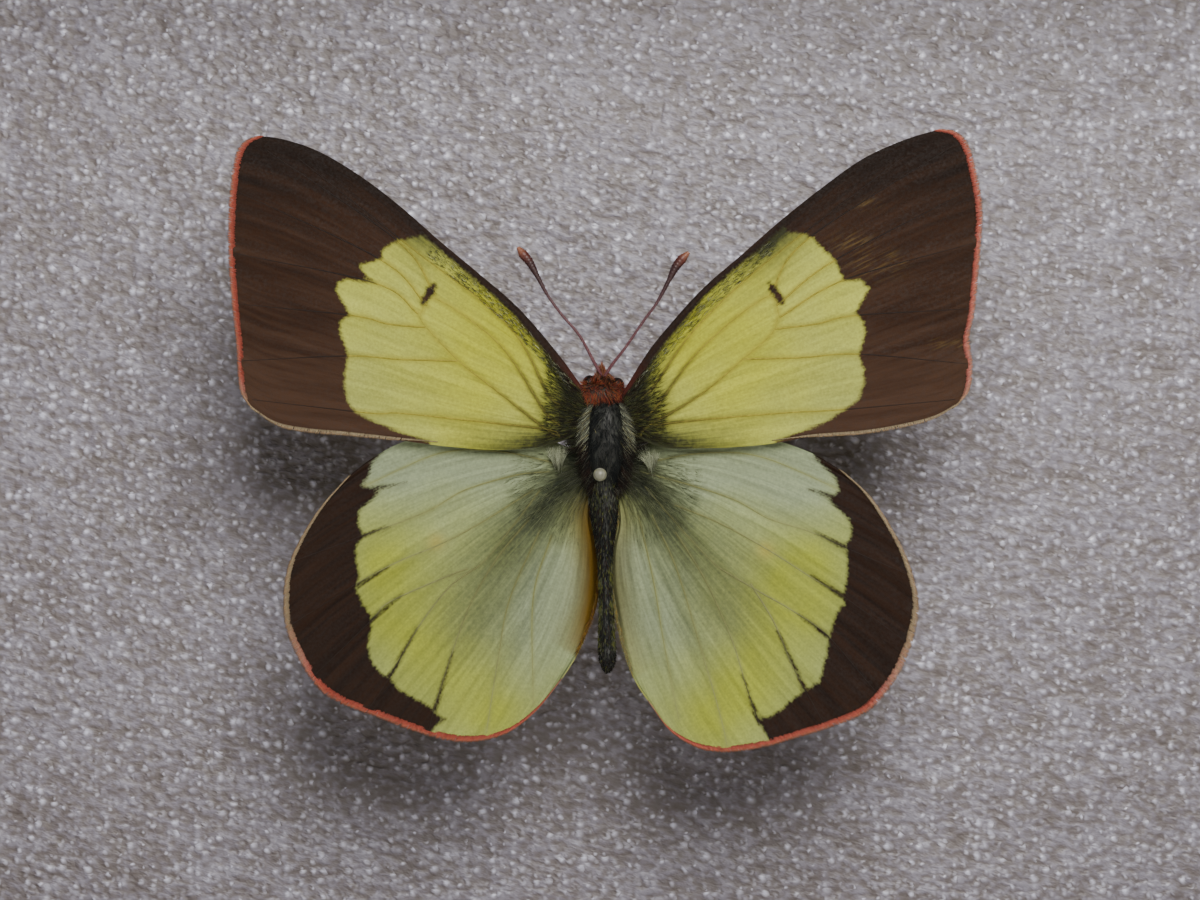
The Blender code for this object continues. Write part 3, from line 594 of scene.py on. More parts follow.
def wingMarks(shape, places, isFore):
    # what the wing's colours need to know at each place, in millimetres or from 0 to 1
    edge = borderEdge(shape, places)
    vein = np.min([distanceToLine(places, smoothLine(line, 40))[0] for line in shape["veins"]], axis=0)
    costa, costaShare = distanceToLine(places, shape["front"])
    rear, rearShare = distanceToLine(places, shape["rear"])
    root = np.linalg.norm(places - np.array(shape["front"][0]) * [1, 0.75], axis=1)
    if isFore:
        width = wingMake["costaWidth"] * (0.8 + 0.5 * fade(1 - costaShare, 0.2, 1.0))
        edge = np.where(costaShare < 0.75, np.maximum(edge, width - costa), edge)
        dust = np.maximum.reduce([
            strewn("foreRoot", root) + strewn("foreCosta", costa) * fade(1 - costaShare, 0.35, 0.9),
            strewn("foreTip", costa) * fade(costaShare, 0.36, 0.52),
            strewn("foreRear", rear) * (1 - fade(rearShare, 0.1, 0.46)),
            strewn("foreVein", vein) * (1 - fade(root, 2.5, 8.0)),
        ])
        yellow = 0.85 + 0.1 * fade(root, 3.0, 7.0) - 0.35 * fade(root, 7.0, 14.0) - 0.3 * near(rear, 4.5)
        orange = np.zeros(len(places))
        inner = 0.9 * near(costa, 0.5) * fade(1 - costaShare, 0.86, 0.99)
        bloom = np.interp(places[:, 1], *zip(*borderBloom)) * (0.25 + 0.75 * fade(costa, 0.4, 1.4))
    else:
        fold, share = distanceToLine(places, shape["dusted"])
        alongFold = foldDust["thickness"] * near(fold, foldDust["width"] + foldDust["widening"] * share)
        dust = np.maximum.reduce([
            alongFold * (1 - foldDust["thinning"] * share),
            strewn("hindRoot", root),
            strewn("hindVein", vein) * (1 - fade(root, 3.5, 9.0)),
        ])
        yellow = 0.5 + 0.4 * blots(places, shape["yellow"]) - 0.45 * blots(places, shape["pale"])
        orange = 0.35 * blots(places, [shape["orange"]])
        # the hindwing's inner margin: painted shadow of the abdomen, fading towards the margin's ends
        arch = np.sin(math.pi * np.clip(rearShare * 1.15, 0, 1)) ** 0.35
        inner = np.clip(shape["inner"] * near(rear, wingMake["innerWidth"]) * arch, 0, 1)
        bloom = np.full(len(places), 0.2)
    wear = np.zeros(len(places))
    for x, y, radius in shape["wear"]:
        gap = np.linalg.norm((places - (x, y)) * wingMake["wearStretch"], axis=1)
        wear = np.maximum(wear, near(gap, radius))
    return {
        "edge": edge, "vein": vein, "dust": np.clip(dust, 0, 1.25), "yellow": np.clip(yellow, 0, 1),
        "orange": orange, "inner": inner, "wear": wear, "bloom": bloom,
    }


def membraneReach(edges, across):
    # how far out the membrane goes before the fringe takes over
    reach = np.linalg.norm(wingPlaces(edges, np.ones_like(across), across) - edges[0][0], axis=-1)
    return 1 - fringeMake["width"] / np.maximum(reach, 6)


def makeMembrane(name, shape, edges, material, slot):
    isFore = name.startswith("fore")
    kind = "forewing" if isFore else "hindwing"
    stepsOut, stepsAcross = wingMake[kind + "Steps"]
    bpy.ops.mesh.primitive_grid_add(x_subdivisions=stepsOut, y_subdivisions=stepsAcross, size=2)
    wing = bpy.context.active_object
    flat = getPoints(wing)
    out, across = (flat[:, 0] + 1) / 2, (flat[:, 1] + 1) / 2
    out = out * membraneReach(edges, across)
    if isFore:
        across = across * (1 - fringeMake["rearWidth"] * fade(out, 0.4, 0.6))
    places = wingPlaces(edges, out, across)
    marks = wingMarks(shape, places, isFore)
    heights = wingHeights(shape, out, across)
    pleat = 1 - near(marks["vein"], wingMake["pleatWidth"])
    heights -= wingMake["pleatDepth"] * pleat * fade(out, 0.05, 0.35)
    heights += wingMake["rippleDepth"] * np.sin(across * wingMake["rippleTurns"]) * fade(out, 0.5, 1.0)
    setPoints(wing, np.column_stack([places, heights]) * mm)
    for mark, values in marks.items():
        setAttribute(wing, mark, values)
    span, width = wingMake[kind + "Grain"]
    setAttribute(wing, "grain", np.column_stack([out * span, across * width, np.zeros_like(out)]))
    setAttribute(wing, "under", np.zeros(len(flat)))
    applyModifier(wing, "SOLIDIFY", thickness=wingMake["thickness"] * mm, offset=0)
    # Solidify puts the second skin's points after the first's, and the lower one is the underside
    z = getPoints(wing)[:, 2]
    isSecond = np.arange(len(z)) >= len(flat)
    under = isSecond if z[~isSecond].mean() > z[isSecond].mean() else ~isSecond
    wing.data.attributes["under"].data.foreach_set("value", under.astype(float))
    smoothShade(wing, 60)
    settle(wing, name + "_membrane", material, slot, name)
    return places, heights


def makeVeins(name, shape, places, heights, material, slot):
    # raised tubes of chitin under the scales, thicker towards the root
    tracks = []
    for line in shape["veins"]:
        track = smoothLine(line, 48)
        nearest = [np.argpartition(((places - place) ** 2).sum(1), 4)[:4] for place in track]
        z = heights[np.array(nearest)].mean(axis=1) + wingMake["thickness"] / 2 - wingMake["veinSunk"]
        radii = wingMake["veinRadius"] * (1.15 - 0.75 * np.linspace(0, 1, len(track)))
        tracks.append((np.column_stack([track, z]), radii))
    veins = addTubes(name + "_veins", tracks, 2)
    marks = wingMarks(shape, getPoints(veins)[:, :2] / mm, name.startswith("fore"))
    for mark in ("edge", "dust"):
        setAttribute(veins, mark, marks[mark])
    settle(veins, name + "_veins", material, slot)


fringeMake = {
    "width": 0.34,
    "rearWidth": 0.01,  # a share of the wing's width: the forewing's rear margin has only a thin one
    "rearRoots": 0.022,  # how far inside the margin its hairs start
    "perMm": 26,
    "radius": 0.036,
    "taper": 0.45,
    "rise": 0.02,
    "rearStart": 0.45,  # how far out they start
}


def makeFringe(name, shape, edges, material, slot, seed):
    # rows of hair scales along the margin, each tinted from tan to red by its place
    make = fringeMake
    rng = np.random.default_rng(seed)
    length = lineLength(edges[2])
    count = int(length * make["perMm"] * 2)
    across = np.clip((np.arange(count) + rng.uniform(-0.5, 0.5, count)) / (count - 1), 0, 1)
    reach = membraneReach(edges, across)
    step = (1 - reach) / make["width"]  # the share of the wing's length in one millimetre
    startOut = reach - step * rng.uniform(0.02, 0.16, count)
    endOut = 1 + step * (rng.normal(0, 0.035, count) - 0.03)
    sway = rng.normal(0, 0.05, count) / length
    roots = [onWing(shape, edges, startOut, across)]
    tips = [np.column_stack([
        wingPlaces(edges, endOut, np.clip(across + sway, 0, 1)), wingHeights(shape, endOut, across),
    ])]
    tones = [np.interp(across, *zip(*shape["fringe"]))]
    if name.startswith("fore"):
        count = int(lineLength(edges[1]) * make["perMm"])
        out = np.linspace(make["rearStart"], 1.0, count) + rng.normal(0, 0.002, count)
        share = np.clip(out, 0, 1)
        inside = np.full(count, 1 - make["rearRoots"])
        reachOut = 1 - make["rearRoots"] * (1 - fade(out, make["rearStart"], 0.6))
        endOut = np.clip(share + rng.normal(0, 0.003, count), 0, 1)
        rootsZ, tipsZ = wingHeights(shape, share, inside), wingHeights(shape, share, np.ones(count))
        roots.append(np.column_stack([wingPlaces(edges, share * 0.985, inside), rootsZ]))
        tips.append(np.column_stack([wingPlaces(edges, endOut, reachOut), tipsZ]))
        tones.append(0.05 + 0.1 * rng.random(count))
    roots, tips, tones = np.vstack(roots) + [0, 0, 0.01], np.vstack(tips), np.concatenate(tones)
    count = len(tones)
    tips[:, 2] += rng.normal(0, 0.025, count)
    tints = np.column_stack([tones + rng.normal(0, 0.05, count), rng.random(count), np.zeros(count)])
    packs = []
    addPack(packs, roots, tips, (0, 0, make["rise"]), make["radius"], tints)
    settlePacks(packs, name + "_fringe", material, slot, make["taper"])


hairColours = {
    "slate": "#161c1e", "black": "#0a0c0b", "grey": "#5c5e50", "straw": "#97905a",
    "red": "#8f402c", "rust": "#662e20", "olive": "#5c6128", "brown": "#2a1a10",
    "moss": "#3f452c", "sage": "#6f7656", "mist": "#a5ac92", "cream": "#a79f6c",
    "russet": "#8c522c", "sand": "#96705a", "honey": "#8e7530", "amber": "#6f4a14",
}
# how much of each colour the hairs of a place have
hairTints = {
    "wingBase": {"black": 0.45, "moss": 0.25, "brown": 0.2, "olive": 0.1},
    "wingEdge": {"grey": 0.3, "mist": 0.1, "moss": 0.3, "black": 0.3},
    "foldNear": {"black": 0.15, "moss": 0.45, "grey": 0.3, "slate": 0.1},
    "foldFar": {"moss": 0.5, "sage": 0.5},
    "tuft": {"mist": 0.75, "sage": 0.2, "moss": 0.05},
    "back": {"slate": 0.52, "black": 0.45, "grey": 0.03},
    "flank": {"grey": 0.65, "straw": 0.1, "slate": 0.25},
    "waist": {"black": 0.6, "brown": 0.3, "grey": 0.1},
    "shoulderFront": {"grey": 0.55, "mist": 0.2, "straw": 0.1, "slate": 0.15},
    "shoulderRear": {"brown": 0.4, "black": 0.5, "grey": 0.1},
    "armpit": {"black": 0.45, "brown": 0.25, "moss": 0.3},
    "abdomenBack": {"black": 0.45, "slate": 0.35, "brown": 0.2},
    "abdomenSide": {"olive": 0.5, "moss": 0.3, "grey": 0.2},
    "abdomenFront": {"grey": 0.25, "moss": 0.35, "black": 0.3, "olive": 0.1},
    "collar": {"red": 0.4, "russet": 0.3, "rust": 0.22, "grey": 0.08},
    "head": {"brown": 0.4, "black": 0.35, "rust": 0.15, "russet": 0.1},
    "palps": {"red": 0.15, "russet": 0.3, "rust": 0.2, "brown": 0.15, "sand": 0.2},
    # painted shade: darker golden hairs for an inner margin in the abdomen's shadow
    "goldenMargin": {"amber": 0.5, "honey": 0.3, "brown": 0.2},
    "paleMargin": {"sage": 0.5, "honey": 0.3, "cream": 0.2},
}


def tintOf(place, rng, count):
    # a mix of hair colours, each hair with one of them and a little lighter or darker
    shares = hairTints[place]
    palette = np.array([linear(hairColours[name])[:3] for name in shares])
    limits = np.cumsum(list(shares.values()))
    picks = (rng.random((count, 1)) > limits).sum(1).clip(0, len(shares) - 1)
    return palette[picks] * rng.uniform(0.7, 1.3, (count, 1))


def mixTints(most, some, share, rng):
    # some of the hairs, as many as the share at each says, take the second colours
    return np.where((rng.random(len(most)) < share)[:, None], some, most)


wingHairs = {
    # "out" says how far from the root they stand, and "rise" how steeply
    "base": {"count": 1500, "length": (0.3, 0.7), "radius": 0.013, "rise": 0.06, "out": (0.01, 0.14)},
    "edge": {"count": 700, "length": (0.25, 0.5), "radius": 0.011, "rise": 0.02, "out": (0.06, 0.5)},
    "fold": {"count": 1500, "length": (0.4, 0.85), "radius": 0.01, "rise": 0.03, "out": (0.02, 0.28)},
    "inner": {"count": 1300, "length": (0.45, 0.9), "radius": 0.014, "rise": 0.0, "out": (0.06, 0.8)},
    "tuft": {"count": 170, "spread": 0.72, "rootSpread": 0.3, "ragged": 0.22, "radius": 0.012},
    "lift": 0.045,  # how high the roots lie over the middle of the membrane
    "bend": (0, 0, 0.06),
    "stray": 0.2,
}


def scatterOut(kind, power, rng):
    # how far out each hair stands, more of them near the root as the power grows
    make = wingHairs[kind]
    least, most = make["out"]
    return least + (most - least) * rng.random(make["count"]) ** power


def layHairs(shape, edges, kind, out, across, rng):
    # hairs that lie along the wing, pointing to its margin
    make, lift = wingHairs[kind], [0, 0, wingHairs["lift"]]
    roots = onWing(shape, edges, out, across) + lift
    heading = unit(onWing(shape, edges, out + 0.03, across) + lift - roots)
    heading += rng.normal(0, wingHairs["stray"], heading.shape) * [1, 1, 0.25] + [0, 0, make["rise"]]
    return roots, roots + heading * rng.uniform(*make["length"], len(out))[:, None]


def addForeHairs(packs, shape, edges, rng):
    out = scatterOut("base", 1.3, rng)
    across = rng.uniform(0.1, 0.97, len(out))
    tints = tintOf("wingBase", rng, len(out))
    roots, tips = layHairs(shape, edges, "base", out, across, rng)
    addPack(packs, roots, tips, wingHairs["bend"], wingHairs["base"]["radius"], tints)
    # ashy hairs inside the dark leading edge
    out = scatterOut("edge", 1, rng)
    across = rng.uniform(0.06, 0.14, len(out)) / (0.4 + 2 * out)
    tints = tintOf("wingEdge", rng, len(out))
    roots, tips = layHairs(shape, edges, "edge", out, across, rng)
    addPack(packs, roots, tips, wingHairs["bend"], wingHairs["edge"]["radius"], tints)


def addHindHairs(packs, shape, edges, rng):
    out = scatterOut("fold", 1.5, rng)
    count = len(out)
    across = rng.normal(0.5, 0.2, count)
    across = np.where((across > 0.12) & (across < 0.85), across, rng.uniform(0.2, 0.8, count))
    close, far = tintOf("foldNear", rng, count), tintOf("foldFar", rng, count)
    tints = np.where((out + rng.normal(0, 0.03, count) < 0.12)[:, None], close, far)
    roots, tips = layHairs(shape, edges, "fold", out, across, rng)
    addPack(packs, roots, tips, wingHairs["bend"], wingHairs["fold"]["radius"], tints)
    # the inner margin's hairs reach under the abdomen; with the shaded golden tints
    # their colours are painted darker, as the abdomen's shadow
    out = scatterOut("inner", 1, rng)
    count = len(out)
    roots, tips = layHairs(shape, edges, "inner", out, np.full(count, 0.985), rng)
    rim, inside = onWing(shape, edges, out, np.ones(count)), onWing(shape, edges, out, np.full(count, 0.97))
    tips = tips + unit(rim - inside) * rng.uniform(0.1, 0.4, (count, 1)) - (tips - roots) * 0.25
    tints = tintOf(shape["innerHair"], rng, count)
    addPack(packs, roots, tips, wingHairs["bend"], wingHairs["inner"]["radius"], tints)
    # a whitish tuft beside the thorax, a wedge that is wider at its tips
    make = wingHairs["tuft"]
    (rootX, rootY), (tipX, tipY) = shape["tuft"]
    count = make["count"]
    fan = rng.uniform(-1, 1, count)
    rootsY = rng.normal(rootY, make["ragged"], count) + 0.5 * np.abs(fan)
    roots = np.column_stack([rootX + make["rootSpread"] * fan, rootsY, np.full(count, 14.62)])
    tips = np.column_stack([
        tipX + make["spread"] * fan + rng.normal(0, 0.13, count),
        tipY - 0.15 * np.abs(fan) + rng.normal(0, make["ragged"], count),
        rng.uniform(14.7, 14.95, count),
    ])
    tints = tintOf("tuft", rng, count)
    addPack(packs, roots, tips, (0, 0, 0.05), make["radius"], tints)


def makeWingHairs(name, shape, edges, material, slot, seed):
    rng = np.random.default_rng(40 + seed)
    packs = []
    if name.startswith("fore"):
        addForeHairs(packs, shape, edges, rng)
    else:
        addHindHairs(packs, shape, edges, rng)
    settlePacks(packs, name + "_hair", material, slot)


def wingScales(name, isFore):
    # powdery wing scales, laid like roof tiles over the membrane: matt, with a faint sheen
    # and fine rows across the wing; dark and yellow scales meet in a ragged edge
    material, add = newMaterial(name)
    names = ("edge", "vein", "dust", "yellow", "orange", "inner", "wear", "bloom", "under")
    marks = {mark: add("Attribute", out="Fac", attribute_name=mark) for mark in names}
    grain = add("Attribute", out="Vector", attribute_name="grain")
    place = add("TexCoord", out="Object")
    # streaks run from the root to the margin, 0.3 mm wide and several mm long
    long = add("VectorMath", {0: grain, 1: (0.14, 1.9, 1)}, operation="MULTIPLY")
    streak = add("TexNoise", {"Vector": long, "Scale": 1.0, "Detail": 3.0, "Roughness": 0.6})
    # single scales: 0.1 by 0.2 mm, drawn at 0.15 mm so that they show
    scale = add("TexNoise", {"Vector": place, "Scale": per(0.15), "Detail": 1.0})
    speck = add("TexNoise", {"Vector": place, "Scale": per(0.26), "Detail": 2.0, "Roughness": 0.7})
    cloud = add("TexNoise", {"Vector": place, "Scale": per(2.5), "Detail": 2.0})
    # colours
    yellowShare = add("Math", {0: cloud, 1: -0.35, 2: marks["yellow"]}, operation="MULTIPLY_ADD")
    yellowShare = add("Math", {0: yellowShare, 1: 0.17}, operation="ADD", use_clamp=True)
    pale = linear("#a5ae6a") if isFore else linear("#8d9a79")
    bright = linear("#a9ac24") if isFore else linear("#939c38")
    ground = add("Mix", {0: yellowShare, 6: pale, 7: bright}, data_type="RGBA")
    shade = add("MapRange", {0: streak, 1: 0.3, 2: 0.7, 3: 0.82, 4: 1.08})
    ground = add("VectorMath", {0: ground, "Scale": shade}, operation="SCALE")
    grit = add("MapRange", {0: scale, 1: 0.3, 2: 0.7, 3: 0.88, 4: 1.1})
    ground = add("VectorMath", {0: ground, "Scale": grit}, operation="SCALE")
    # painted shade: the ground is painted darker and duller beside each vein, as the pleats shade it
    reach = 0.34 if isFore else 0.25
    paintedVeinShade = add(
        "MapRange", {0: marks["vein"], 1: 0.0, 2: reach, 3: 0.42, 4: 0.0}, interpolation_type="SMOOTHSTEP"
    )
    # the colour of the painted shade beside the veins
    beside = linear("#7e741c") if isFore else linear("#7f8450")
    ground = add("Mix", {0: paintedVeinShade, 6: ground, 7: beside}, data_type="RGBA")
    ground = add("Mix", {0: marks["orange"], 6: ground, 7: linear("#b09632")}, data_type="RGBA")
    if not isFore:
        # painted shadow: the abdomen's shade painted dark golden along the hindwing's inner margin
        ground = add("Mix", {0: marks["inner"], 6: ground, 7: linear("#5a440d")}, data_type="RGBA")
    # soft folds fan out from the root, 1.5 mm apart: a bump, with painted shade and light
    # that make the colour darker and lighter along them
    fan = add("VectorMath", {0: grain, 1: (0.1, 0.55, 1)}, operation="MULTIPLY")
    folds = add("TexNoise", {"Vector": fan, "Scale": 1.0, "Detail": 1.0})
    # painted shade and light of the folds
    paintedFoldShade = add("MapRange", {0: folds, 1: 0.35, 2: 0.65, 3: 0.9, 4: 1.06})
    ground = add("VectorMath", {0: ground, "Scale": paintedFoldShade}, operation="SCALE")
    # dark scales scattered among the yellow ones, thicker towards the root and in rays along the folds
    rays = add("VectorMath", {0: grain, 1: (0.3, 3.4, 1)}, operation="MULTIPLY")
    ray = add("TexNoise", {"Vector": rays, "Scale": 1.0, "Detail": 2.0})
    dusting = add("Math", {0: ray, 1: 0.55, 2: marks["dust"]}, operation="MULTIPLY_ADD")
    dusting = add("Math", {0: speck, 1: 0.35, 2: dusting}, operation="MULTIPLY_ADD")
    dusting = add("MapRange", {0: dusting, 1: 0.45, 2: 1.3, 3: 0.0, 4: 0.96})
    soot = [(0.3, "#060704"), (0.7, "#181c12")] if isFore else [(0.3, "#080b08"), (0.7, "#1c241c")]
    sooty = add("ValToRGB", {"Fac": ray}, stops=soot)
    ground = add("Mix", {0: dusting, 6: ground, 7: sooty}, data_type="RGBA")
    # the dark border
    bloom = add("Math", {0: streak, 1: 1.3, 2: marks["bloom"]}, operation="MULTIPLY_ADD")
    bloom = add("Math", {0: bloom, 1: 0.65}, operation="SUBTRACT", use_clamp=True)
    dark = add("ValToRGB", {"Fac": bloom}, stops=[(0.0, "#140802"), (0.55, "#2a1709"), (1.0, "#3d291b")])
    dark = add("VectorMath", {0: dark, "Scale": grit}, operation="SCALE")
    thin = add("VectorMath", {0: grain, 1: (0.6, 7.0, 1)}, operation="MULTIPLY")
    worn = add("TexNoise", {"Vector": thin, "Scale": 1.0, "Detail": 2.0})
    worn = add("MapRange", {0: worn, 1: 0.46, 2: 0.66, 3: 0.0, 4: 0.5}, interpolation_type="SMOOTHSTEP")
    worn = add("Math", {0: worn, 1: marks["wear"]}, operation="MULTIPLY")
    dark = add("Mix", {0: worn, 6: dark, 7: linear("#64522a")}, data_type="RGBA")
    ragged = add("Math", {0: scale, 1: 0.26, 2: marks["edge"]}, operation="MULTIPLY_ADD")
    ragged = add("Math", {0: ray, 1: 0.3, 2: ragged}, operation="MULTIPLY_ADD")
    inBorder = add(
        "MapRange", {0: ragged, 1: 0.1, 2: 0.42, 3: 0.0, 4: 1.0}, interpolation_type="SMOOTHSTEP"
    )
    top = add("Mix", {0: inBorder, 6: ground, 7: dark}, data_type="RGBA")
    if isFore:
        top = add("Mix", {0: marks["inner"], 6: top, 7: linear("#40140d")}, data_type="RGBA")
    # the underside is plain greenish yellow
    below = add("ValToRGB", {"Fac": speck}, stops=[(0.3, "#a4a03f"), (0.7, "#c4c25c")])
    colour = add("Mix", {0: marks["under"], 6: top, 7: below}, data_type="RGBA")
    rough = add("MapRange", {0: scale, 1: 0.3, 2: 0.7, 3: 0.62, 4: 0.85})
    rows = add("VectorMath", {0: grain, 1: (6.0, 9.0, 1)}, operation="MULTIPLY")
    tiles = add("TexVoronoi", {"Vector": rows, "Scale": 1.0})
    relief = add("Math", {0: tiles, 1: 0.5, 2: streak}, operation="MULTIPLY_ADD")
    fold = add("Bump", {"Strength": 0.6 if isFore else 1.0, "Distance": 0.5 * mm, "Height": folds})
    bump = add("Bump", {"Strength": 0.5, "Distance": 0.03 * mm, "Height": relief, "Normal": fold})
    return finishMaterial(material, {
        "Base Color": colour, "Roughness": rough, "Specular IOR Level": 0.2, "Normal": bump,
    })


def veinScales(isFore):
    # veins are the same scales over a tube: olive in the yellow field and near black in the border
    material, add = newMaterial("vein_scales_fore" if isFore else "vein_scales_hind")
    edge = add("Attribute", out="Fac", attribute_name="edge")
    dust = add("Attribute", out="Fac", attribute_name="dust")
    place = add("TexCoord", out="Object")
    grit = add("TexNoise", {"Vector": place, "Scale": per(0.2), "Detail": 2.0})
    field = [(0.3, "#7d7722"), (0.7, "#9c9534")] if isFore else [(0.3, "#74784a"), (0.7, "#868b56")]
    olive = add("ValToRGB", {"Fac": grit}, stops=field)
    dark = add("ValToRGB", {"Fac": grit}, stops=[(0.3, "#120a06"), (0.7, "#1e120b")])
    inBorder = add("MapRange", {0: edge, 1: -0.1, 2: 0.1})
    dusted = add("Math", {0: dust, 1: 0.8}, operation="MULTIPLY")
    share = add("Math", {0: inBorder, 1: dusted}, operation="MAXIMUM", use_clamp=True)
    colour = add("Mix", {0: share, 6: olive, 7: dark}, data_type="RGBA")
    bump = add("Bump", {"Strength": 0.4, "Distance": 0.02 * mm, "Height": grit})
    return finishMaterial(material, {
        "Base Color": colour, "Roughness": 0.7, "Specular IOR Level": 0.3, "Normal": bump,
    })


def fringeScales():
    # hair scales of the margin: tan at one end, brick red and pink at the other
    material, add = newMaterial("fringe_hair_scales")
    tint = add("Attribute", out="Vector", attribute_name="tint")
    redness = add("SeparateXYZ", {0: tint})
    tone = add("ValToRGB", {"Fac": redness}, stops=[
        (0.0, "#90856a"), (0.25, "#8c795c"), (0.6, "#a8695c"), (0.8, "#a65243"), (1.0, "#9c4433"),
    ])
    height = add("Attribute", out="Fac", attribute_name="height")
    vary = add("MapRange", {0: redness.node.outputs["Y"], 3: 0.75, 4: 1.15})
    deep = add("MapRange", {0: height, 1: 0.0, 2: 0.4, 3: 0.6, 4: 1.0})
    vary = add("Math", {0: vary, 1: deep}, operation="MULTIPLY")
    colour = add("VectorMath", {0: tone, "Scale": vary}, operation="SCALE")
    faded = add("MapRange", {0: height, 1: 0.4, 2: 1.0, 3: 0.0, 4: 0.55})
    colour = add("Mix", {0: faded, 6: colour, 7: linear("#bb9672")}, data_type="RGBA")
    rough = add("MapRange", {0: height, 3: 0.75, 4: 0.55})
    return finishMaterial(material, {"Base Color": colour, "Roughness": rough, "Specular IOR Level": 0.35})


def makeWings():
    fringe = fringeScales()
    hair = hairMaterial("wing_hair")
    for kind, slot in (("fore", "yellow_wing_scales"), ("hind", "pale_wing_scales")):
        scales = wingScales(kind + "wing_scales", kind == "fore")
        chitin = veinScales(kind == "fore")
        for seed, side in enumerate(("left", "right")):
            name = f"{kind}wing_{side}"
            shape = wingShapes[name]
            edges = wingEdges(shape)
            places, heights = makeMembrane(name, shape, edges, scales, slot)
            makeVeins(name, shape, places, heights, chitin, slot)
            makeFringe(name, shape, edges, fringe, slot, seed)
            makeWingHairs(name, shape, edges, hair, slot, seed)
    report("wings")


# Body

bodyShape = {
    # the skin lies as deep under the tips of the fur as "fur" says, and the hairs start at "roots"
    "thorax": {"centre": (0.35, 2.0, 14.0), "half": (1.9, 3.3, 2.2), "fur": 0.34, "roots": 0.37},
    "collar": {"centre": (0.06, 4.68, 14.1), "half": (1.75, 1.05, 1.5), "fur": 0.25, "roots": 0.27},
    "head": {"centre": (0.22, 5.3, 13.95), "half": (0.95, 0.75, 0.95), "fur": 0.2, "roots": 0.22},
    "eyeRadius": 0.48,
    "eyes": [(-0.6, 5.42, 13.9), (1.02, 5.28, 13.9)],
    "voxel": 0.07,
}
abdomenShape = {
    # places along it from the pin, with the radius at each
    "line": [
        (0.5, 0.9), (-0.8, 1.05), (-2.0, 0.95), (-3.2, 0.75), (-4.4, 0.55), (-5.6, 0.47),
        (-7.2, 0.46), (-8.6, 0.5), (-9.8, 0.55), (-10.9, 0.59), (-11.5, 0.45), (-11.95, 0.15),
    ],
    "middle": 0.2,
    "lean": -0.022,
    "height": 14.0,
    "depth": 1.15,  # it is a little deeper than it is wide
    "fur": 0.08,
    "roots": 0.1,
    "tip": -12.05,
    "segment": 1.25,  # length of one ring
    "groove": {"place": 0.1, "depth": 0.06, "width": 0.12},
}


def addLump(part):
    lump = bodyShape[part]
    bpy.ops.mesh.primitive_uv_sphere_add(segments=48, ring_count=32, radius=1)
    obj = bpy.context.active_object
    obj.scale = [(half - lump["fur"]) * mm for half in lump["half"]]
    obj.location = [c * mm for c in lump["centre"]]
    bpy.ops.object.transform_apply(location=True, rotation=True, scale=True)
    return obj


def abdomenLine(count):
    line = smoothLine(abdomenShape["line"], count)
    y, radius = line[:, 0], np.maximum(line[:, 1], 0.08)
    return abdomenShape["middle"] + abdomenShape["lean"] * y, y, radius


def addAbdomen():
    # a tube with a shallow groove at each ring's end
    x, y, radius = abdomenLine(90)
    groove = abdomenShape["groove"]
    rings = groove["depth"] * near(y % abdomenShape["segment"] - groove["place"], groove["width"])
    radii = np.maximum(radius * (1 - rings) - abdomenShape["fur"], 0.05)
    obj = addTubes("abdomen", [(np.column_stack([x, y, np.zeros_like(x)]), radii)], 8)
    places = getPoints(obj) * [1, 1, abdomenShape["depth"]]
    setPoints(obj, places + [0, 0, abdomenShape["height"] * mm])
    return obj


def makeSkin(material):
    skin = joinAll([addLump("thorax"), addLump("collar"), addLump("head"), addAbdomen()])
    applyModifier(skin, "REMESH", mode="VOXEL", voxel_size=bodyShape["voxel"] * mm)
    applyModifier(skin, "SMOOTH", factor=0.5, iterations=3)
    skin.data.shade_smooth()
    settle(skin, "butterfly_body_skin", material, "dark_body_hair", "butterfly_body")


def makeEyes(material):
    made = []
    for place in bodyShape["eyes"]:
        bpy.ops.mesh.primitive_ico_sphere_add(subdivisions=4, radius=bodyShape["eyeRadius"] * mm)
        eye = bpy.context.active_object
        eye.location = [p * mm for p in place]
        eye.scale = (0.92, 1.0, 1.0)
        bpy.ops.object.transform_apply(location=True, rotation=True, scale=True)
        made.append(eye)
    eyes = joinAll(made)
    eyes.data.shade_smooth()
    settle(eyes, "butterfly_eyes", material, "dark_body_hair")


legShape = {
    # hip, knee, ankle and claw of the right leg in each pair
    "pairs": [
        [(0.5, 3.6, 12.8), (0.95, 4.1, 11.5), (0.6, 3.2, 11.0), (0.35, 2.2, 10.8)],
        [(0.7, 2.2, 12.3), (1.7, 2.8, 11.1), (0.9, 0.6, 10.7), (0.6, -0.7, 10.5)],
        [(0.7, 0.6, 12.4), (1.6, -0.4, 11.2), (0.9, -2.4, 10.9), (0.6, -3.9, 10.8)],
    ],
    "middle": 0.35,
    "radii": [0.15, 0.1275, 0.0975, 0.075],
    "knuckle": {"swell": 0.035, "width": 0.08, "place": 0.02},
    "toes": {"swell": 0.012, "count": 5},
    "claw": 0.3,  # how much of the radius is left there
}


def makeLegs(material):
    knuckle, toes = legShape["knuckle"], legShape["toes"]
    tracks = []
    for pair in legShape["pairs"]:
        track = smoothLine(pair, 60)
        joints = range(len(pair))
        nearest = [np.linalg.norm(track - corner, axis=1).argmin() for corner in np.array(pair)]
        parts = np.interp(range(len(track)), nearest, joints)
        t = parts % 1
        radii = np.interp(parts, joints, legShape["radii"])
        for place in (knuckle["place"], 1 - knuckle["place"]):
            radii += knuckle["swell"] * near(t - place, knuckle["width"])
        radii += np.where(parts >= 2, toes["swell"] * np.cos(2 * math.pi * toes["count"] * t), 0)
        radii[-1] *= legShape["claw"]
        tracks += [(track * [side, 1, 1] + [legShape["middle"], 0, 0], radii) for side in (-1, 1)]
    settle(addTubes("legs", tracks, 3), "butterfly_legs", material, "dark_body_hair")


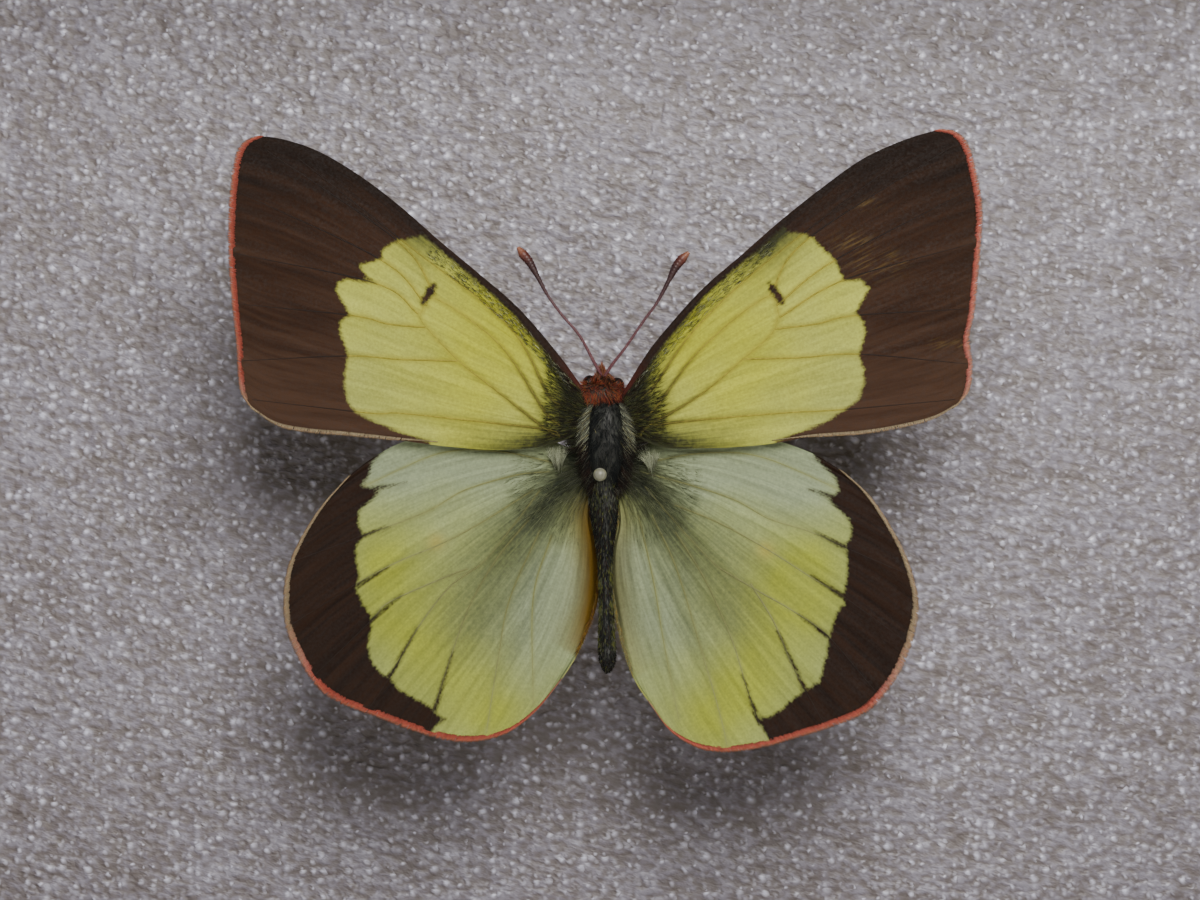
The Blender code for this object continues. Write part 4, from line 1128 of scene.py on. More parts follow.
furCoats = {
    "thorax": {"count": 7600, "length": (0.45, 0.95), "stand": 0.3, "radius": 0.018, "bend": -0.1},
    "shoulder": {"count": 2000, "length": (0.5, 0.95), "radius": 0.017},
    "armpit": {"count": 900, "length": (0.8, 1.5), "radius": 0.018},
    "collar": {"count": 3000, "length": (0.3, 0.6), "stand": 0.28, "radius": 0.02, "bend": 0.1},
    "head": {"count": 2400, "length": (0.25, 0.45), "stand": 0.25, "radius": 0.019, "bend": 0.1},
    "abdomen": {"count": 5600, "length": (0.22, 0.38), "stand": 0.2, "radius": 0.026, "taper": 0.5},
    "palps": {"count": 560, "root": (0.25, 14.0), "tip": (0.06, 6.95, 14.1), "radius": 0.017},
}


def coatEllipsoid(part, rng):
    # fur all over a lump, combed backwards in slow waves
    coat, lump = furCoats[part], bodyShape[part]
    count = coat["count"]
    ball = unit(rng.normal(size=(count, 3)))
    half = np.array(lump["half"]) - lump["roots"]
    roots = np.array(lump["centre"]) + ball * half
    normal = unit(ball / half)
    back = np.array([0, -1.0, 0])
    flow = back - normal * (normal @ back)[:, None] + rng.normal(0, 0.25, (count, 3))
    x, y = roots[:, 0], roots[:, 1]
    flow[:, 0] += 0.3 * np.sin(y * 2.9 + x * 1.7) + 0.25 * np.sin(x * 5.3 - y * 4.1)
    heading = unit(normal * coat["stand"] + flow * (1 - coat["stand"]))
    length = rng.uniform(*coat["length"], count)[:, None]
    return roots, roots + heading * length, normal * length * coat["bend"]


def addThoraxCoat(packs, rng):
    # dark along the middle, with grey sides in front and brown ones behind
    roots, tips, bends = coatEllipsoid("thorax", rng)
    count = len(roots)
    x, y = roots[:, 0] - bodyShape["thorax"]["centre"][0], roots[:, 1]
    top = tintOf("back", rng, count)
    sides = tintOf("flank", rng, count)
    ragged = rng.normal(0, 0.16, count) + 0.14 * np.sin(y * 5.1 + 0.8) + 0.1 * np.sin(y * 9.7 + x)
    inFront = fade(np.abs(x + 0.06) + ragged, 0.8, 1.35) * fade(y, 1.3, 2.6)
    tints = mixTints(top, sides, inFront * 0.9, rng)
    behind = fade(np.abs(x), 0.9, 1.3) * (1 - fade(y, 1.3, 2.4))
    sooty = tintOf("waist", rng, count)
    tints = mixTints(tints, sooty, behind * 0.7, rng)
    addPack(packs, roots, tips, bends, furCoats["thorax"]["radius"], tints)


def addShoulderHairs(packs, rng):
    # they lean out over the wing roots: grey in front, brown behind
    coat, (middle, halfway, height) = furCoats["shoulder"], bodyShape["thorax"]["centre"]
    count = coat["count"]
    side = np.where(np.arange(count) % 2, 1.0, -1.0)
    y = rng.uniform(-1.0, 4.3, count)
    bulge = np.sqrt(np.clip(1 - ((y - halfway) / 3.2) ** 2, 0.05, 1))
    x = (1.0 + 0.45 * rng.random(count)) * bulge
    z = height + 2.0 * np.sqrt(np.clip(bulge**2 - (x / 1.75) ** 2, 0.16, 1))
    roots = np.column_stack([middle + side * x, y, z])
    lean = rng.uniform(0.3, 0.75, count) + 0.3 * fade(y, 2.4, 3.6)
    heading = np.column_stack([side * lean, rng.normal(-0.75, 0.15, count), rng.normal(-0.02, 0.08, count)])
    tips = roots + unit(heading) * rng.uniform(*coat["length"], count)[:, None]
    grey = tintOf("shoulderFront", rng, count)
    brown = tintOf("shoulderRear", rng, count)
    tints = mixTints(brown, grey, fade(y, 1.2, 2.8), rng)
    addPack(packs, roots, tips, (0, 0, 0.05), coat["radius"], tints)


def addArmpitHairs(packs, rng):
    # dark hair fills the corners between the wing roots
    coat, middle = furCoats["armpit"], bodyShape["thorax"]["centre"][0]
    count = coat["count"]
    side = np.where(np.arange(count) % 2, 1.0, -1.0)
    x = middle + side * rng.uniform(1.1, 1.6, count)
    roots = np.column_stack([x, rng.uniform(1.35, 2.4, count), rng.uniform(14.4, 15.0, count)])
    out = side * rng.uniform(0.7, 1.0, count)
    heading = np.column_stack([out, rng.normal(0, 0.2, count), rng.uniform(-0.12, 0.0, count)])
    tips = roots + unit(heading) * rng.uniform(*coat["length"], count)[:, None]
    tints = tintOf("armpit", rng, count)
    addPack(packs, roots, tips, (0, 0, 0), coat["radius"], tints)


def makeThoraxFur(material):
    rng = np.random.default_rng(21)
    packs = []
    addThoraxCoat(packs, rng)
    addShoulderHairs(packs, rng)
    addArmpitHairs(packs, rng)
    settlePacks(packs, "butterfly_thorax_hair", material, "dark_body_hair")


def makeHeadFur(material):
    rng = np.random.default_rng(22)
    packs = []
    for part in ("collar", "head"):
        roots, tips, bends = coatEllipsoid(part, rng)
        addPack(packs, roots, tips, bends, furCoats[part]["radius"], tintOf(part, rng, len(roots)))
    # a wedge of bristles ahead of the face, closing to the tips of the palps
    coat = furCoats["palps"]
    count = coat["count"]
    rootX, rootZ = coat["root"]
    tipX, tipY, tipZ = coat["tip"]
    fan = rng.uniform(-1, 1, count)
    rootsY = rng.uniform(5.2, 5.75, count)
    roots = np.column_stack([rootX + 0.68 * fan, rootsY, rootZ + rng.uniform(-0.4, 0.55, count)])
    tips = np.column_stack([
        tipX + 0.42 * fan + rng.normal(0, 0.06, count),
        tipY - 0.95 * np.abs(fan) ** 0.8 - 0.35 * rng.random(count),
        tipZ + rng.normal(0, 0.2, count),
    ])
    addPack(packs, roots, tips, (0, 0, 0), coat["radius"], tintOf("palps", rng, count))
    settlePacks(packs, "butterfly_head_hair", material, "dark_body_hair")


def makeAbdomenFur(material):
    rng = np.random.default_rng(23)
    coat = furCoats["abdomen"]
    count = coat["count"]
    xs, ys, radii = abdomenLine(200)
    at = rng.integers(0, 199, count)
    angle = rng.uniform(0, 2 * math.pi, count)
    normal = np.column_stack([np.cos(angle), np.zeros(count), np.sin(angle)])
    radius = (radii[at] - abdomenShape["roots"])[:, None]
    roots = np.column_stack([xs[at], ys[at], np.full(count, abdomenShape["height"])])
    roots = roots + normal * radius * [1, 1, abdomenShape["depth"]]
    behind = -roots[:, 1]  # how far behind the pin
    heading = unit(normal * coat["stand"] + [0, -1.0, 0] + rng.normal(0, 0.15, (count, 3)))
    length = rng.uniform(*coat["length"], count) * (1 - 0.45 * fade(behind, 9.6, 11.4))
    tips = roots + heading * length[:, None]
    tips[:, 1] = np.maximum(tips[:, 1], abdomenShape["tip"])
    # dark on the back, with olive blotches on the sides and below, and ashen at the waist
    dark = tintOf("abdomenBack", rng, count)
    light = tintOf("abdomenSide", rng, count)
    beside = fade(np.abs(np.cos(angle)), 0.35, 0.8)
    beside *= fade(behind, 3.5, 6.5) * (1 - fade(behind, 10.2, 11.0))
    below = fade(-np.sin(angle), 0.1, 0.6) * (1 - fade(behind, 10.6, 11.4))
    blotch = 0.5 + 0.25 * (np.sin(angle - behind * 3.1) - np.sin(behind * 5.3 + angle * 3))
    share = np.maximum(beside * (0.3 + 0.5 * blotch) + 0.22 * blotch, below * 0.9)
    tints = mixTints(dark, light, share, rng)
    ashen = tintOf("abdomenFront", rng, count)
    tints = mixTints(tints, ashen, 0.75 * fade(-behind, -3.0, -1.0), rng)
    packs = []
    addPack(packs, roots, tips, normal * 0.02, coat["radius"], tints)
    settlePacks(packs, "butterfly_abdomen_hair", material, "dark_body_hair", coat["taper"])


def hairMaterial(name):
    # insect hair and hair scales: thin chitin, dull at the root and glossier at the tip
    material, add = newMaterial(name)
    tint = add("Attribute", out="Vector", attribute_name="tint")
    height = add("Attribute", out="Fac", attribute_name="height")
    lift = add("MapRange", {0: height, 3: 0.6, 4: 1.25})
    colour = add("VectorMath", {0: tint, "Scale": lift}, operation="SCALE")
    rough = add("MapRange", {0: height, 3: 0.8, 4: 0.55})
    return finishMaterial(material, {"Base Color": colour, "Roughness": rough, "Specular IOR Level": 0.25})


def skinMaterial():
    # chitin under the fur, nearly black and finely pitted
    material, add = newMaterial("black_chitin")
    place = add("TexCoord", out="Object")
    pits = add("TexNoise", {"Vector": place, "Scale": per(0.16), "Detail": 3.0})
    colour = add("ValToRGB", {"Fac": pits}, stops=[(0.3, "#0c0d0c"), (0.7, "#262a24")])
    rough = add("MapRange", {0: pits, 3: 0.4, 4: 0.75})
    bump = add("Bump", {"Strength": 0.6, "Distance": 0.03 * mm, "Height": pits})
    return finishMaterial(material, {"Base Color": colour, "Roughness": rough, "Normal": bump})


def eyeMaterial():
    # a compound eye: smooth dark brown lenses in a fine hexagonal pack, 0.05 mm drawn at 0.08 mm
    material, add = newMaterial("compound_eye")
    place = add("TexCoord", out="Object")
    cells = add("TexVoronoi", {"Vector": place, "Scale": per(0.08), "Randomness": 0.3})
    colour = add("ValToRGB", {"Fac": cells}, stops=[(0.0, "#2a1c15"), (0.6, "#0d0907")])
    bump = add("Bump", {"Strength": 0.25, "Distance": 0.02 * mm, "Height": cells}, invert=True)
    return finishMaterial(material, {
        "Base Color": colour, "Roughness": 0.5, "Specular IOR Level": 0.25, "Normal": bump,
    })


antennaShape = {
    "base": (0.2, 5.7, 14.3),  # inside the head
    "antenna_left": [
        (-0.30, 6.55, 14.6), (-1.2, 8.2, 14.9), (-2.3, 9.5, 15.1), (-3.1, 10.6, 15.2), (-3.7, 11.7, 15.3),
        (-4.2, 12.6, 15.3), (-4.6, 13.1, 15.3), (-4.9, 13.5, 15.3),
    ],
    "antenna_right": [
        (0.72, 6.5, 14.6), (1.5, 7.5, 14.9), (2.6, 9.1, 15.1), (3.4, 10.2, 15.2), (4.1, 11.5, 15.3),
        (4.5, 12.3, 15.3), (4.9, 12.8, 15.3), (5.3, 13.2, 15.3),
    ],
    "radii": [0.1, 0.10, 0.085, 0.085, 0.09, 0.14, 0.26, 0.3, 0.1],
    "joint": {"length": 0.2, "depth": 0.14, "width": 0.035},
}


def makeAntenna(name, material):
    joint = antennaShape["joint"]
    corners = np.array([antennaShape["base"], *antennaShape[name]])
    track = smoothLine(corners, 150)
    along = np.linspace(0, lineLength(track), len(track))
    nearest = [np.linalg.norm(track - corner, axis=1).argmin() for corner in corners]
    radii = np.interp(along, along[nearest], antennaShape["radii"])
    radii *= 1 - joint["depth"] * near(along % joint["length"] - joint["length"] / 2, joint["width"])
    antenna = addTubes(name, [(track, np.maximum(radii, 0.03))], 5)
    _, share = distanceToLine(getPoints(antenna) / mm, track[::3])
    setAttribute(antenna, "along", share)
    settle(antenna, name + "_flagellum", material, "red_brown_antenna", name)


def antennaMaterial():
    # purplish brown chitin with pale dusting on the shaft and a rusty club
    material, add = newMaterial("antenna_chitin")
    along = add("Attribute", out="Fac", attribute_name="along")
    place = add("TexCoord", out="Object")
    grit = add("TexNoise", {"Vector": place, "Scale": per(0.1), "Detail": 2.0})
    shaft = add("ValToRGB", {"Fac": along}, stops=[
        (0.0, "#5b3238"), (0.55, "#4c2a30"), (0.75, "#2b1215"), (0.88, "#2c1011"), (0.95, "#52241a"),
        (1.0, "#8a5a44"),
    ])
    dusting = add("MapRange", {0: grit, 1: 0.55, 2: 0.7, 3: 0.0, 4: 0.35})
    onShaft = add("MapRange", {0: along, 1: 0.6, 2: 0.75, 3: 1.0, 4: 0.15})
    dusting = add("Math", {0: dusting, 1: onShaft}, operation="MULTIPLY")
    colour = add("Mix", {0: dusting, 6: shaft, 7: linear("#9c7f80")}, data_type="RGBA")
    rough = add("MapRange", {0: grit, 3: 0.3, 4: 0.6})
    bump = add("Bump", {"Strength": 0.4, "Distance": 0.02 * mm, "Height": grit})
    return finishMaterial(material, {"Base Color": colour, "Roughness": rough, "Normal": bump})


def makeBody():
    hair = hairMaterial("body_hair")
    chitin = skinMaterial()
    makeSkin(chitin)
    makeEyes(eyeMaterial())
    makeLegs(chitin)
    makeThoraxFur(hair)
    makeHeadFur(hair)
    makeAbdomenFur(hair)
    horn = antennaMaterial()
    for name in ("antenna_left", "antenna_right"):
        makeAntenna(name, horn)
    report("body")


# Pin

pinShape = {
    "top": 26.0,
    "headRadius": 0.38,
    "headFlat": 0.82,  # how high its lower half is, beside the upper
    "shaftRadius": 0.2,
    "depth": 12.0,  # how far it goes into the foam
    "point": 1.5,
    "tip": 0.06,  # how much of the shaft's radius is left there
}


def makePin():
    p = pinShape
    bpy.ops.mesh.primitive_uv_sphere_add(segments=32, ring_count=24, radius=p["headRadius"] * mm)
    head = bpy.context.active_object
    head.location.z = (p["top"] - p["headRadius"]) * mm
    places = getPoints(head)
    places[:, 2] *= np.where(places[:, 2] < 0, p["headFlat"], 1)
    setPoints(head, places)
    head.data.shade_smooth()
    settle(head, "insect_pin_head", nylonMaterial(), "pin_steel", "insect_pin")
    length = p["top"] - p["headRadius"] + p["depth"]
    bpy.ops.mesh.primitive_cylinder_add(vertices=24, radius=p["shaftRadius"] * mm, depth=length * mm)
    shaft = bpy.context.active_object
    shaft.location.z = (length / 2 - p["depth"]) * mm
    # a ring where the point starts, and the lowest ring drawn in to a tip
    bpy.ops.object.mode_set(mode="EDIT")
    bpy.ops.mesh.select_all(action="SELECT")
    bpy.ops.mesh.bisect(plane_co=(0, 0, (p["point"] - p["depth"]) * mm), plane_no=(0, 0, 1))
    bpy.ops.object.mode_set(mode="OBJECT")
    places = getPoints(shaft)
    low = places[:, 2] < places[:, 2].min() + 0.01 * mm
    places[low, :2] *= p["tip"]
    setPoints(shaft, places)
    smoothShade(shaft, 40)
    settle(shaft, "insect_pin_shaft", pinSteel(), "pin_steel")
    report("pin")


def nylonMaterial():
    # moulded nylon head: cream, slightly waxy, with a soft highlight
    material, add = newMaterial("cream_nylon")
    place = add("TexCoord", out="Object")
    cloud = add("TexNoise", {"Vector": place, "Scale": per(0.3), "Detail": 2.0})
    colour = add("ValToRGB", {"Fac": cloud}, stops=[(0.3, "#696a5b"), (0.7, "#7d7e6d")])
    return finishMaterial(material, {
        "Base Color": colour, "Roughness": 0.35, "IOR": 1.53, "Subsurface Weight": 0.2,
        "Subsurface Radius": (0.3 * mm, 0.25 * mm, 0.2 * mm),
    })


def pinSteel():
    # drawn stainless wire: bright, with fine lines along it
    material, add = newMaterial("drawn_stainless_wire")
    place = add("TexCoord", out="Object")
    lines = add("VectorMath", {0: place, 1: per(0.05, 3, 0.05)}, operation="MULTIPLY")
    draw = add("TexNoise", {"Vector": lines, "Scale": 1.0, "Detail": 2.0})
    colour = add("ValToRGB", {"Fac": draw}, stops=[(0.2, "#8f8b84"), (0.8, "#c9c6bf")])
    rough = add("MapRange", {0: draw, 3: 0.18, 4: 0.38})
    return finishMaterial(material, {"Base Color": colour, "Roughness": rough, "Metallic": 1.0})


# Foam pad

foamShape = {
    "steps": (330, 264),
    "swell": (0.22, 3.2, 2),  # height, width and finer rounds of the slow waves
    "lumps": (0.12, 1.4, 0),  # and of the lumps on them
    "edgeRound": 0.25,
    "edgeWidth": 0.6,
    "calmEdge": 2.0,  # the waves start this far from the edge
    "dent": (0.35, 0.4),  # how deep and how wide the pin pulls the skin in
}


def makeFoam(material):
    f = foamShape
    width, height, depth = foamHigh.x - foamLow.x, foamHigh.z - foamLow.z, foamHigh.y - foamLow.y
    bpy.ops.mesh.primitive_grid_add(x_subdivisions=f["steps"][0], y_subdivisions=f["steps"][1], size=1)
    pad = bpy.context.active_object
    pad.scale = (width, height, 1)
    bpy.ops.object.transform_apply(location=False, rotation=False, scale=True)
    flat = getPoints(pad)
    rim = np.minimum(width / 2 - np.abs(flat[:, 0]), height / 2 - np.abs(flat[:, 1])) / mm
    group = pad.vertex_groups.new(name="inside")
    for weight in range(11):
        chosen = np.nonzero(np.round(fade(rim, 0.0, f["calmEdge"]) * 10) == weight)[0]
        group.add(chosen.tolist(), weight / 10, "REPLACE")
    for name in ("swell", "lumps"):
        lift, size, rounds = f[name]
        texture = bpy.data.textures.new(name, "CLOUDS")
        texture.noise_scale = size * mm
        texture.noise_depth = rounds
        applyModifier(
            pad, "DISPLACE", texture=texture, texture_coords="LOCAL", direction="Z",
            strength=lift * mm, mid_level=0.8, vertex_group="inside",
        )
    places = getPoints(pad)
    middleX, middleZ = (foamLow.x + foamHigh.x) / 2, (foamLow.z + foamHigh.z) / 2
    toPin = np.hypot(places[:, 0] + middleX - pinX, places[:, 1] + middleZ - pinZ) / mm
    places[:, 2] -= f["dent"][0] * mm * near(toPin, f["dent"][1])
    places[:, 2] -= f["edgeRound"] * mm * (1 - fade(rim, 0.0, f["edgeWidth"]))
    places[:, 2] = np.minimum(places[:, 2], 0)
    setPoints(pad, places)
    # the sides and the back
    bpy.ops.object.mode_set(mode="EDIT")
    bpy.ops.mesh.select_all(action="SELECT")
    bpy.ops.mesh.region_to_loop()
    bpy.ops.mesh.extrude_edges_move(TRANSFORM_OT_translate={"value": (0, 0, -depth + f["edgeRound"] * mm)})
    bpy.ops.mesh.edge_face_add()
    bpy.ops.mesh.select_all(action="SELECT")
    bpy.ops.mesh.normals_make_consistent(inside=False)
    bpy.ops.object.mode_set(mode="OBJECT")
    pad.location = (middleX - pinX, middleZ - pinZ, 0)
    smoothShade(pad, 60)
    settle(pad, "foam_pad_skin", material, "grey_foam", "foam_pad")
    report("foam")


def foamMaterial():
    # closed-cell polyethylene foam: a warm grey body under a thin shiny skin, swollen into
    # blisters 0.7 and 0.5 mm apart; some carry a painted glint, a soft round highlight in the colour
    material, add = newMaterial("polyethylene_foam")
    place = add("TexCoord", out="Object")
    turned = add("Mapping", {"Vector": place, "Rotation": (0, math.radians(-14), 0)})
    flattened = add("VectorMath", {0: turned, 1: (0.55, 1, 1)}, operation="MULTIPLY")
    wave = add("TexNoise", {"Vector": flattened, "Scale": per(0.42), "Detail": 2.0, "Roughness": 0.5})
    onFace = add("Mapping", {"Vector": place, "Rotation": (math.radians(-90), 0, 0)})
    # the waves push the blisters aside, so that none is quite round
    onFace = add("VectorMath", {0: wave, 1: (0.5 * mm, -0.35 * mm, 0), 2: onFace}, operation="MULTIPLY_ADD")
    blister = add("TexVoronoi", {"Vector": onFace, "Scale": per(0.72)}, voronoi_dimensions="2D")
    small = add("TexVoronoi", {"Vector": onFace, "Scale": per(0.46)}, voronoi_dimensions="2D")
    dome = add("MapRange", {0: blister, 1: 0.0, 2: 0.6, 3: 1.0, 4: 0.0}, interpolation_type="SMOOTHSTEP")
    patch = add("TexNoise", {"Vector": flattened, "Scale": per(1.8), "Detail": 2.0})
    # painted glints, highlights painted into the colour: some wide, some hardly there,
    # each fading from its middle and brightest on the wave crests
    chance = add("SeparateColor", {0: blister.node.outputs["Color"]})
    reach = add("MapRange", {0: chance.node.outputs["Green"], 3: 0.15, 4: 0.5})
    spot = add("Math", {0: blister, 1: reach}, operation="DIVIDE")
    spot = add("MapRange", {0: spot, 1: 0.0, 2: 1.0, 3: 1.0, 4: 0.0}, interpolation_type="SMOOTHSTEP")
    paintedGlintStrength = add("Math", {0: wave, 1: 1.6, 2: chance}, operation="MULTIPLY_ADD")
    paintedGlintStrength = add("MapRange", {0: paintedGlintStrength, 1: 1.0, 2: 1.85, 3: 0.0, 4: 1.0})
    spot = add("Math", {0: spot, 1: paintedGlintStrength}, operation="MULTIPLY")
    smallChance = add("SeparateColor", {0: small.node.outputs["Color"]})
    smallChance = add("MapRange", {0: smallChance, 1: 0.4, 3: 0.0, 4: 0.36})
    smallPaintedGlint = add("MapRange", {0: small, 1: 0.0, 2: 0.5, 3: 1.0, 4: 0.0}, interpolation_type="SMOOTHSTEP")
    smallPaintedGlint = add("Math", {0: smallPaintedGlint, 1: smallChance}, operation="MULTIPLY")
    spot = add("Math", {0: spot, 1: smallPaintedGlint}, operation="MAXIMUM")
    # painted shade and sheen: darker brown-grey painted in the hollows and a lighter lilac sheen
    # painted on the wave crests, over broad blotches of tone
    toneShadeAndSheen = add("Math", {0: patch, 1: 0.5, 2: wave}, operation="MULTIPLY_ADD")
    colour = add("ValToRGB", {"Fac": toneShadeAndSheen}, stops=[
        (0.5, "#665f5d"), (0.68, "#726c6f"), (0.8, "#7e7a84"), (0.92, "#8f8d9b"),
    ])
    # the painted glints: near white painted over the colour, where the skin is also glossier
    colour = add("Mix", {0: spot, 6: colour, 7: linear("#e2e5fb")}, data_type="RGBA")
    rough = add("MapRange", {0: spot, 3: 0.5, 4: 0.25})
    swell = add("Bump", {"Strength": 1.0, "Distance": 0.14 * mm, "Height": wave})
    bump = add("Bump", {"Strength": 1.0, "Distance": 0.04 * mm, "Height": dome, "Normal": swell})
    return finishMaterial(material, {
        "Base Color": colour, "Roughness": rough, "IOR": 1.5, "Specular IOR Level": 0.7, "Normal": bump,
    })


# Frame

railShape = {"frontRound": 1.5, "edge": 0.15, "jointGap": 0.1}
topLow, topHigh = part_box("frame_rail_top")
leftLow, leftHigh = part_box("frame_rail_left")
boardLow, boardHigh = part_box("backing_board")
railFace = topHigh.z - topLow.z
openingMiddle = (foamLow.z + foamHigh.z) / 2


def makeRail(name, halfLength, distance, degrees, material):
    # planed stock: a block with mitred ends, a rebate for the board and a rounded front
    depth = topHigh.y - topLow.y
    bpy.ops.mesh.primitive_cube_add(size=1)
    rail = bpy.context.active_object
    rail.scale = (2 * halfLength + 2 * mm, depth, railFace)
    rail.location = (0, (topLow.y + topHigh.y) / 2, railFace / 2)
    bpy.ops.object.transform_apply(location=True, rotation=True, scale=True)
    bpy.ops.object.mode_set(mode="EDIT")
    bpy.ops.mesh.select_all(action="DESELECT")
    bpy.ops.object.mode_set(mode="OBJECT")
    for edge in rail.data.edges:
        a, b = (rail.data.vertices[i].co for i in edge.vertices)
        edge.select = abs(a.x - b.x) > mm and abs(a.y - topLow.y) < mm
    bpy.ops.object.mode_set(mode="EDIT")
    bpy.ops.mesh.bevel(offset=railShape["frontRound"] * mm, segments=10, profile=0.5)
    for side in (-1, 1):
        bpy.ops.mesh.select_all(action="SELECT")
        corner = (side * (halfLength - railShape["jointGap"] * mm), 0, railFace)
        bpy.ops.mesh.bisect(plane_co=corner, plane_no=(side, 0, -1), use_fill=True, clear_outer=True)
    bpy.ops.object.mode_set(mode="OBJECT")
    bpy.ops.mesh.primitive_cube_add(size=1)
    cutter = bpy.context.active_object
    rebate = boardHigh.x - foamHigh.x + 0.3 * mm - (leftHigh.x - foamLow.x)
    rebateDepth = topHigh.y - boardLow.y + 0.15 * mm
    cutter.scale = (3 * halfLength, 2 * rebateDepth, 2 * rebate)
    cutter.location = (0, topHigh.y, 0)
    bpy.ops.object.transform_apply(location=True, rotation=True, scale=True)
    applyModifier(rail, "BOOLEAN", operation="DIFFERENCE", solver="EXACT", object=cutter)
    bpy.data.objects.remove(cutter)
    applyModifier(
        rail, "BEVEL", width=railShape["edge"] * mm, segments=2, limit_method="ANGLE",
        angle_limit=math.radians(35),
    )
    smoothShade(rail, 35)
    turn = Matrix.Translation((0, 0, openingMiddle)) @ Matrix.Rotation(math.radians(degrees), 4, "Y")
    rail.matrix_world = turn @ Matrix.Translation((0, 0, distance))
    settle(rail, "walnut_" + name, material, "oiled_walnut", name, onPlane=False)


def makeFrame():
    flatHalf = (topHigh.x - topLow.x) / 2 + railShape["jointGap"] * mm
    uprightHalf = (leftHigh.z - leftLow.z) / 2 + railShape["jointGap"] * mm
    openHigh, openWide = topLow.z - openingMiddle, -leftHigh.x
    flat = walnutMaterial("walnut_along_x", 0)
    upright = walnutMaterial("walnut_along_z", 90)
    makeRail("frame_rail_top", flatHalf, openHigh, 0, flat)
    makeRail("frame_rail_right", uprightHalf, openWide, 90, upright)
    makeRail("frame_rail_bottom", flatHalf, openHigh, 180, flat)
    makeRail("frame_rail_left", uprightHalf, openWide, 270, upright)
    hardboard, zinc = hardboardMaterial(), zincMaterial()
    for name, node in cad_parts.items():
        if name.startswith(("backing_board", "framer_point", "hanger_nail", "sawtooth")):
            node.data.materials.clear()
            node.data.materials.append(hardboard if name == "backing_board" else zinc)
    report("frame")


def walnutMaterial(name, turn):
    # planed black walnut under a hand-rubbed satin oil: brown bands 2 to 5 mm apart,
    # with open pores 0.15 mm wide and 1 to 3 mm long that catch the light as fine dashes
    material, add = newMaterial(name)
    place = add("TexCoord", out="Object")
    lengthwise = add("Mapping", {"Vector": place, "Rotation": (0, math.radians(turn), 0)})
    wander = add("TexNoise", {"Vector": lengthwise, "Scale": per(28), "Detail": 2.0}, out="Color")
    bent = add("VectorMath", {0: wander, 1: (0, 6 * mm, 6 * mm), 2: lengthwise}, operation="MULTIPLY_ADD")
    bands = add("VectorMath", {0: bent, 1: per(160, 5, 5)}, operation="MULTIPLY")
    ring = add("TexNoise", {"Vector": bands, "Scale": 1.0, "Detail": 4.0, "Roughness": 0.6})
    fibres = add("VectorMath", {0: lengthwise, 1: per(6, 0.28, 0.28)}, operation="MULTIPLY")
    fibre = add("TexNoise", {"Vector": fibres, "Scale": 1.0, "Detail": 3.0})
    dashes = add("VectorMath", {0: lengthwise, 1: per(2.2, 0.3, 0.3)}, operation="MULTIPLY")
    pore = add("TexVoronoi", {"Vector": dashes, "Scale": 1.0})
    inPore = add("MapRange", {0: pore, 1: 0.06, 2: 0.2, 3: 1.0, 4: 0.0})
    tone = add("ValToRGB", {"Fac": ring}, stops=[
        (0.28, "#2d1a10"), (0.44, "#4b2f1e"), (0.56, "#5f3f28"), (0.7, "#7b5738"),
    ])
    streaks = add("MapRange", {0: fibre, 1: 0.3, 2: 0.7, 3: 0.78, 4: 1.12})
    tone = add("VectorMath", {0: tone, "Scale": streaks}, operation="SCALE")
    poreShare = add("Math", {0: inPore, 1: 0.7}, operation="MULTIPLY")
    colour = add("Mix", {0: poreShare, 6: tone, 7: linear("#1c100a")}, data_type="RGBA")
    rough = add("MapRange", {0: fibre, 1: 0.3, 2: 0.7, 3: 0.34, 4: 0.48})
    rough = add("Math", {0: inPore, 1: 0.3, 2: rough}, operation="MULTIPLY_ADD", use_clamp=True)
    relief = add("Math", {0: inPore, 1: -1.0, 2: fibre}, operation="MULTIPLY_ADD")
    bump = add("Bump", {"Strength": 0.35, "Distance": 0.08 * mm, "Height": relief})
    return finishMaterial(material, {"Base Color": colour, "Roughness": rough, "Normal": bump})


def hardboardMaterial():
    # pressed fibre board: mid brown felted fibres, with the print of the press's 1 mm wire mesh
    material, add = newMaterial("hardboard")
    place = add("TexCoord", out="Object")
    cloud = add("TexNoise", {"Vector": place, "Scale": per(9), "Detail": 2.0})
    fleck = add("TexNoise", {"Vector": place, "Scale": per(0.45), "Detail": 4.0, "Roughness": 0.6})
    drawn = add("VectorMath", {0: place, 1: (1, 1, 0.3)}, operation="MULTIPLY")
    strand = add("TexNoise", {"Vector": drawn, "Scale": per(0.35), "Detail": 3.0, "Distortion": 1.5})
    colour = add("ValToRGB", {"Fac": fleck}, stops=[(0.3, "#5e4129"), (0.5, "#7b5936"), (0.72, "#946f4d")])
    shade = add("MapRange", {0: cloud, 1: 0.3, 2: 0.7, 3: 0.9, 4: 1.12})
    felt = add("MapRange", {0: strand, 1: 0.35, 2: 0.6, 3: 0.78, 4: 1.08})
    shade = add("Math", {0: shade, 1: felt}, operation="MULTIPLY")
    colour = add("VectorMath", {0: colour, "Scale": shade}, operation="SCALE")
    rough = add("MapRange", {0: fleck, 3: 0.6, 4: 0.85})
    mesh = [
        add(
            "TexWave", {"Vector": place, "Scale": per(6.3), "Distortion": 0.4}, out="Fac",
            bands_direction=axis,
        )
        for axis in ("X", "Z")
    ]
    mesh = add("Math", {0: mesh[0], 1: mesh[1]}, operation="MAXIMUM")
    relief = add("Math", {0: fleck, 1: 0.8, 2: mesh}, operation="MULTIPLY_ADD")
    bump = add("Bump", {"Strength": 0.35, "Distance": 0.12 * mm, "Height": relief})
    return finishMaterial(material, {
        "Base Color": colour, "Roughness": rough, "Specular IOR Level": 0.3, "Normal": bump,
    })


